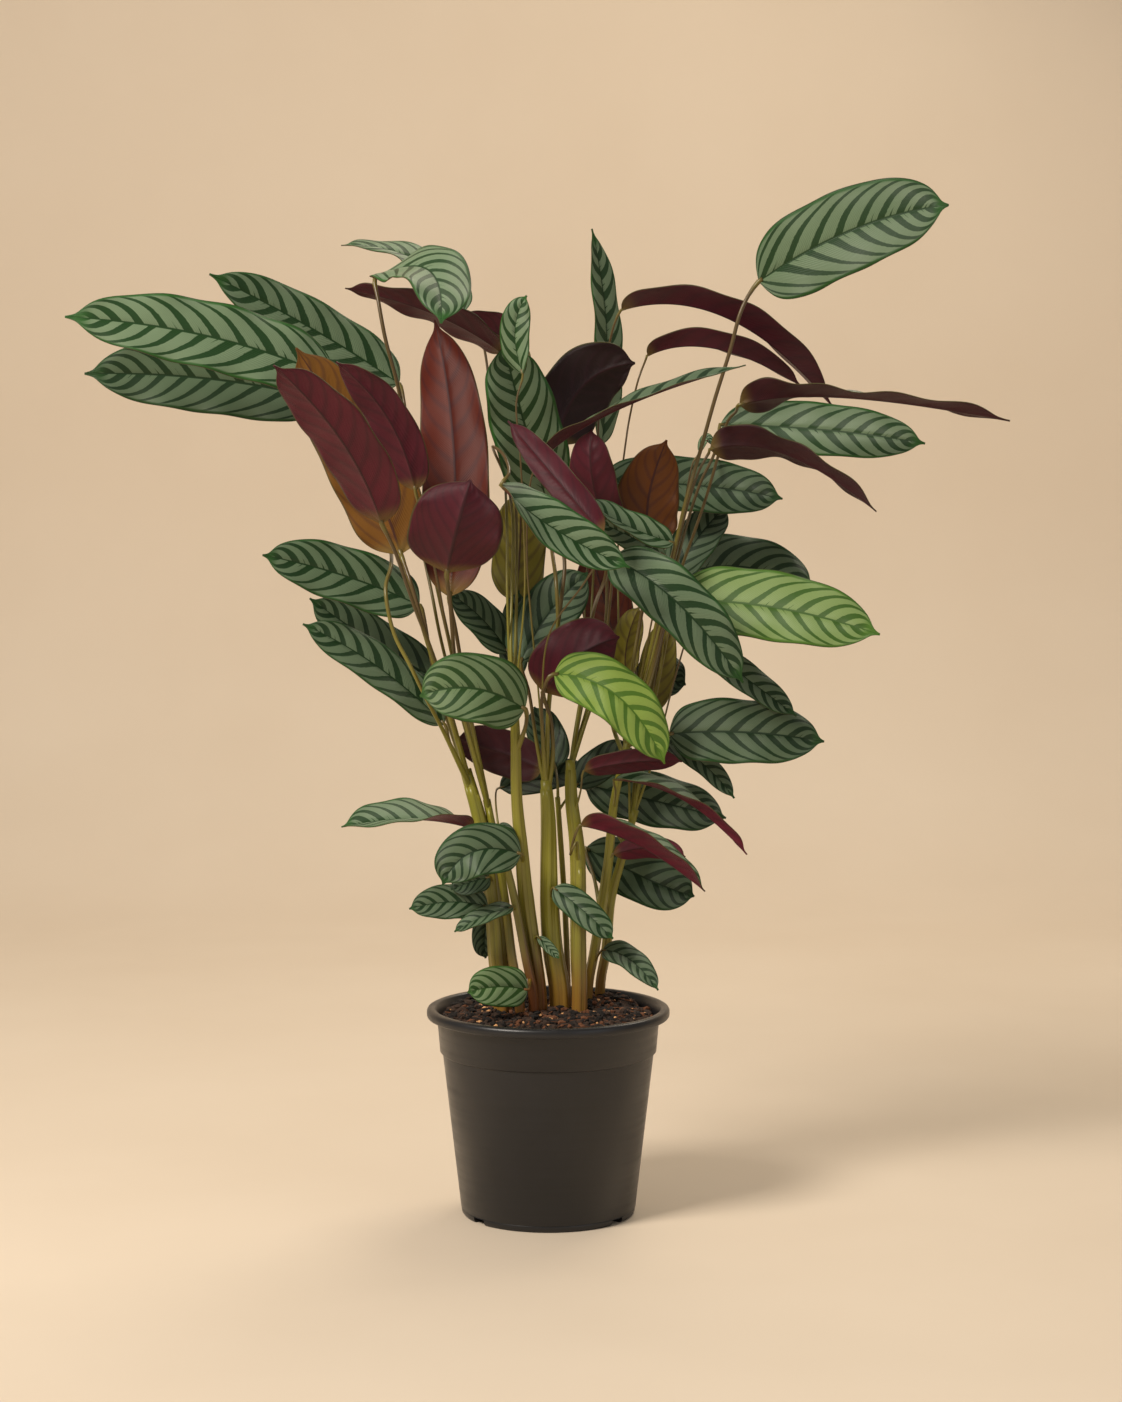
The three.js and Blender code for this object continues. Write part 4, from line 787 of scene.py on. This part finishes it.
def leaf_blade(row):
    """One blade over its midrib, with the map of its bars, and a face above and one below."""
    number, _, _, base, _, tip, width, turns = row
    name = f"leaf_{number:02d}"
    fold = FOLDED.get(number, 0.0)
    curve = midrib(row)
    way = -1 if tip[0] < base[0] else 1
    steps = [on_midrib(curve, i / 12)[0] for i in range(13)]
    length = sum((far - near).length for near, far in zip(steps, steps[1:]))
    draw = random.Random(number)
    shift = draw.random()
    stagger = draw.uniform(0.15, 0.5)
    swing = draw.uniform(0.7, 1.3) * min(width, 60) * MARGIN_WAVE
    beat = draw.uniform(0, math.tau)
    builder = bmesh.new()
    blade_map = builder.loops.layers.uv.new("blade")
    feather_map = builder.loops.layers.uv.new("feather")
    bmesh.ops.create_grid(builder, x_segments=ROWS_ALONG, y_segments=ROWS_ACROSS, size=1)
    places = {}
    for vert in builder.verts:
        t = 0.5 - 0.5 * math.cos(math.pi * (vert.co.x + 1) / 2)
        t = 0.6 * t + 0.4 * (vert.co.x + 1) / 2
        share = -math.copysign(abs(vert.co.y) ** 1.35, vert.co.y)
        places[vert] = (t, share)
    bars = max(4, round(3.1 + length / BAR_SPACING))
    half = 0.5 * width / length
    for face in builder.faces:
        middle_share = sum(places[vert][1] for vert in face.verts)
        for loop in face.loops:
            t, share = places[loop.vert]
            loop[blade_map].uv = (t, share)
            right = middle_share > 0
            count = bar_count(bars, t, share, half) + shift + stagger * right
            loop[feather_map].uv = (count + 40 * number + 20 * right, 0)
    for vert, (t, share) in places.items():
        centre, ahead = on_midrib(curve, t)
        flat = ahead.cross((EYE - centre).normalized()).normalized()
        facing = flat.cross(ahead)
        a, b, c = turns
        roll = math.radians(a * (1 - t) * (1 - 2 * t) + 4 * b * t * (1 - t) + c * t * (2 * t - 1))
        across = flat * math.cos(roll) + facing * way * math.sin(roll)
        normal = across.cross(ahead)
        near = (centre.y - EYE.y) / -EYE.y
        reach = max(0.5 * width * half_width(t), 0.9) * near
        x = abs(share)
        wave = swing * math.sin(beat + math.tau * bars * 0.5 * t + (2.1 if share > 0 else 0)) * x ** 3
        wave *= smooth_step(t, 0, 0.15) * smooth_step(1 - t, 0, 0.12)
        groove = -GROOVE_DEPTH * math.exp(-((x * reach / GROOVE_WIDTH) ** 2))
        groove *= smooth_step(1 - t, 0.02, 0.2)
        phase = bar_count(bars, t, share, half) + shift + stagger * (share > 0)
        pleat = PLEAT_HEIGHT * math.cos(math.tau * phase) * (1 - x) * smooth_step(x, 0, 0.25)
        pleat *= min(1, width / 50)
        lift = reach * (CUP * x * x + WING * (x - x * x) + fold * x) + wave + groove + pleat
        early = ahead * (-LIVE_BASE * (1 - t) ** 8)
        vert.co = (centre + early + across * reach * share + normal * lift) * MM
    sheet = finish_piece(builder, name + "_blade", [upper, under])
    thicken = sheet.modifiers.new("blade thickness", "SOLIDIFY")
    thicken.thickness = BLADE_THICKNESS * MM
    thicken.offset = 0
    thicken.material_offset = 1
    thicken.material_offset_rim = 1
    # Each leaf's age, painted backlight and painted crown shade, kept on its points for the shaders.
    for attribute, values in (("young", YOUNG), ("glow", PAINTED_BACKLIGHT), ("deep", CROWN_SHADE)):
        layer = sheet.data.attributes.new(attribute, "FLOAT", "POINT")
        layer.data.foreach_set("value", [values.get(number, 0.0)] * len(sheet.data.vertices))
    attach(sheet, "root")
    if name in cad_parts:
        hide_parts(name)
    return sheet


# Canes and leaf stalks
# A shoot's cane is a jointed stem wrapped in the sheaths of its leaf stalks. The stalks are slim and
# round, rise in a bunch and end in a short swollen joint that holds the blade. Canes are yellow-green,
# stalks browner.
CANE_SIDES = 20
STALK_SIDES = 10
PULVINUS = 5
# A stalk's radius is its leaf's width over STALK_SHARE, within these two radii.
STALK_SHARE = 32
THIN_STALK = 0.85
THICK_STALK = 1.8
# How many sheaths show as ridges down each cane, and how thick each is beside it.
SHEATHS = 6
SHEATH_SHARE = 0.46
SHEATH_OFFSET = 0.66
SHEATH_TWIST = 0.004
CANE_SPACING = 8
STALK_SPACING = 6
ROOT_DEPTH = 138
SOIL_LINE = 190
SHEATH_START = SOIL_LINE - 30
LONGEST_SHEATH = 90
# How brown the foot of a cane is, where it isn't 0.25, and how far up the brown fades out.
RUST_RISE = 130
RUST = {"shoot_3": 1.0, "shoot_4": 0.7, "shoot_2": 0.6, "shoot_6": 0.5}

green_skin, tree, shader = new_material("smooth green cane skin", 0.36)
# Smooth skin with long fibres under it: yellow-green streaked with brown, and darker on the stalks.
run = add(tree, "UVMap", uv_map="UVMap")
long_way = add(tree, "Mapping", {"Vector": run, "Scale": (5.0, 6.0, 1.0)})
streak = add(tree, "TexNoise", {"Vector": long_way, "Scale": 1.6, "Detail": 4.0})
fine_way = add(tree, "Mapping", {"Vector": run, "Scale": (34.0, 9.0, 1.0)})
fibre = add(tree, "TexNoise", {"Vector": fine_way, "Scale": 1.0, "Detail": 3.0})
brown = add(tree, "Attribute", attribute_name="brown").outputs["Fac"]
cane = add(tree, "ValToRGB", {"Fac": streak})
cane.color_ramp.elements[0].position = 0.32
cane.color_ramp.elements[0].color = linear("#5a3a18")
cane.color_ramp.elements[1].position = 0.7
cane.color_ramp.elements[1].color = linear("#cdc458")
cane.color_ramp.elements.new(0.5).color = linear("#94902f")
stalk = add(tree, "ValToRGB", {"Fac": streak})
stalk.color_ramp.elements[0].position = 0.35
stalk.color_ramp.elements[0].color = linear("#3a2020")
stalk.color_ramp.elements[1].position = 0.68
stalk.color_ramp.elements[1].color = linear("#75652f")
skin = add(tree, "Mix", {"Factor": brown, 6: cane.outputs[0], 7: stalk.outputs[0]},
           data_type="RGBA").outputs[2]
dark = add(tree, "MapRange", {"Value": fibre, 1: 0.35, 2: 0.65, 3: 0.35, 4: 0.0})
skin = add(tree, "Mix", {"Factor": dark, 6: skin, 7: linear("#3c2a18")}, data_type="RGBA").outputs[2]
height = add(tree, "SeparateXYZ", {0: add(tree, "TexCoord").outputs["Object"]}).outputs["Z"]
foot = add(tree, "MapRange", {"Value": height, 1: 0.18, 2: 0.24, 3: 0.8, 4: 0.0},
           interpolation_type="SMOOTHSTEP")
foot = add(tree, "Math", {0: foot, 1: streak}, operation="MULTIPLY")
skin = add(tree, "Mix", {"Factor": foot, 6: skin, 7: linear("#a04a24")}, data_type="RGBA").outputs[2]
tree.links.new(skin, shader.inputs["Base Color"])
relief = add(tree, "Bump", {"Height": fibre, "Strength": 0.3, "Distance": 0.0004})
tree.links.new(relief.outputs[0], shader.inputs["Normal"])


def through(points, spacing):
    """Points every few millimetres on the smooth centripetal curve through the given ones."""
    run = [2 * points[0] - points[1]] + list(points) + [2 * points[-1] - points[-2]]
    knots = [0.0]
    for near, far in zip(run, run[1:]):
        knots.append(knots[-1] + (far - near).length ** 0.5)
    made = []
    for i in range(1, len(run) - 2):
        p, k = run[i - 1:i + 3], knots[i - 1:i + 3]
        steps = max(1, round((p[2] - p[1]).length / spacing))
        for step in range(steps):
            at = k[1] + (k[2] - k[1]) * step / steps
            a = [p[j].lerp(p[j + 1], (at - k[j]) / (k[j + 1] - k[j])) for j in range(3)]
            b = [a[j].lerp(a[j + 1], (at - k[j]) / (k[j + 2] - k[j])) for j in range(2)]
            made.append(b[0].lerp(b[1], (at - k[1]) / (k[2] - k[1])))
    return made + [points[-1]]


def on_cane(cane, height):
    """The point of a cane at a height on the elevation."""
    pair = next((i for i in range(1, len(cane)) if cane[i][1] >= height), len(cane) - 1)
    low, high = cane[pair - 1], cane[pair]
    share = (height - low[1]) / (high[1] - low[1])
    return sight([low[n] + (high[n] - low[n]) * share for n in range(3)])


for shoot_number, (shoot_name, shoot) in enumerate(SHOOTS.items()):
    for row in shoot["leaves"]:
        leaf_blade(row)
    builder = bmesh.new()
    root_x, root_y, root_radius = shoot["root"]
    foot = [Vector((root_x, root_y, ROOT_DEPTH)), Vector((root_x, root_y, SOIL_LINE))]
    ends = foot + [sight(place) for place in shoot["cane"]]
    sizes = [root_radius, root_radius] + [place[3] for place in shoot["cane"]]
    route = through(ends, CANE_SPACING)
    radii = []
    for place in route:
        pair = next((i for i in range(1, len(ends)) if ends[i].z >= place.z), len(ends) - 1)
        share = (place.z - ends[pair - 1].z) / (ends[pair].z - ends[pair - 1].z)
        radii.append(sizes[pair - 1] + (sizes[pair] - sizes[pair - 1]) * share)
    rust = RUST.get(shoot_name, 0.25)
    browns = [rust * smooth_step(-place.z, -(SOIL_LINE + RUST_RISE), -SOIL_LINE) for place in route]
    tube(builder, route, radii, CANE_SIDES, browns, 100 * shoot_number)
    draw = random.Random(shoot_number)
    spin = draw.uniform(0, math.tau)
    for ridge, row in enumerate(shoot["leaves"][:SHEATHS]):
        angle = spin + math.tau * ridge / min(SHEATHS, len(shoot["leaves"]))
        top = on_cane(shoot["cane"], row[1]).z
        below = [n for n, place in enumerate(route) if SHEATH_START < place.z < top]
        sheath_route = []
        sheath_radii = []
        for n in below:
            turned = angle + SHEATH_TWIST * route[n].z
            out = Vector((math.cos(turned), math.sin(turned), 0))
            sheath_route.append(route[n] + out * radii[n] * SHEATH_OFFSET)
            sheath_radii.append(radii[n] * SHEATH_SHARE)
        if len(below) < 3:
            continue
        tone = draw.uniform(-0.1, 0.35)
        sheath_browns = [min(1, max(0, browns[n] + tone)) for n in below]
        tube(builder, sheath_route, sheath_radii, STALK_SIDES, sheath_browns,
             100 * shoot_number + 11 * ridge)
    for row in shoot["leaves"]:
        end = sight(row[3])
        curve = midrib(row)
        knee = end - on_midrib(curve, 0)[1] * PULVINUS
        ways = [on_cane(shoot["cane"], row[1])] + [sight(place) for place in reversed(row[2])] + [knee, end]
        route = through(ways, STALK_SPACING)
        thin = min(max(row[6] / STALK_SHARE, THIN_STALK), THICK_STALK)
        run = [0.0]
        for near, far in zip(route, route[1:]):
            run.append(run[-1] + (far - near).length)
        radii = []
        browns = []
        for gone in run:
            left = run[-1] - gone
            sheath = 1 - smooth_step(gone, 0, min(LONGEST_SHEATH, 0.6 * run[-1]))
            swell = math.exp(-((left - 7) / 6) ** 2)
            radii.append(thin * (0.92 + 0.5 * sheath + 0.3 * swell))
            browns.append(0.25 + 0.75 * smooth_step(gone / run[-1], 0.1, 0.75) - 0.35 * swell)
        tube(builder, route, radii, STALK_SIDES, browns, 100 * shoot_number + 7 * row[0])
    bmesh.ops.recalc_face_normals(builder, faces=builder.faces)
    stems = finish_piece(builder, shoot_name + "_stems", [green_skin])
    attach(stems, "root")
    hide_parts(shoot_name)
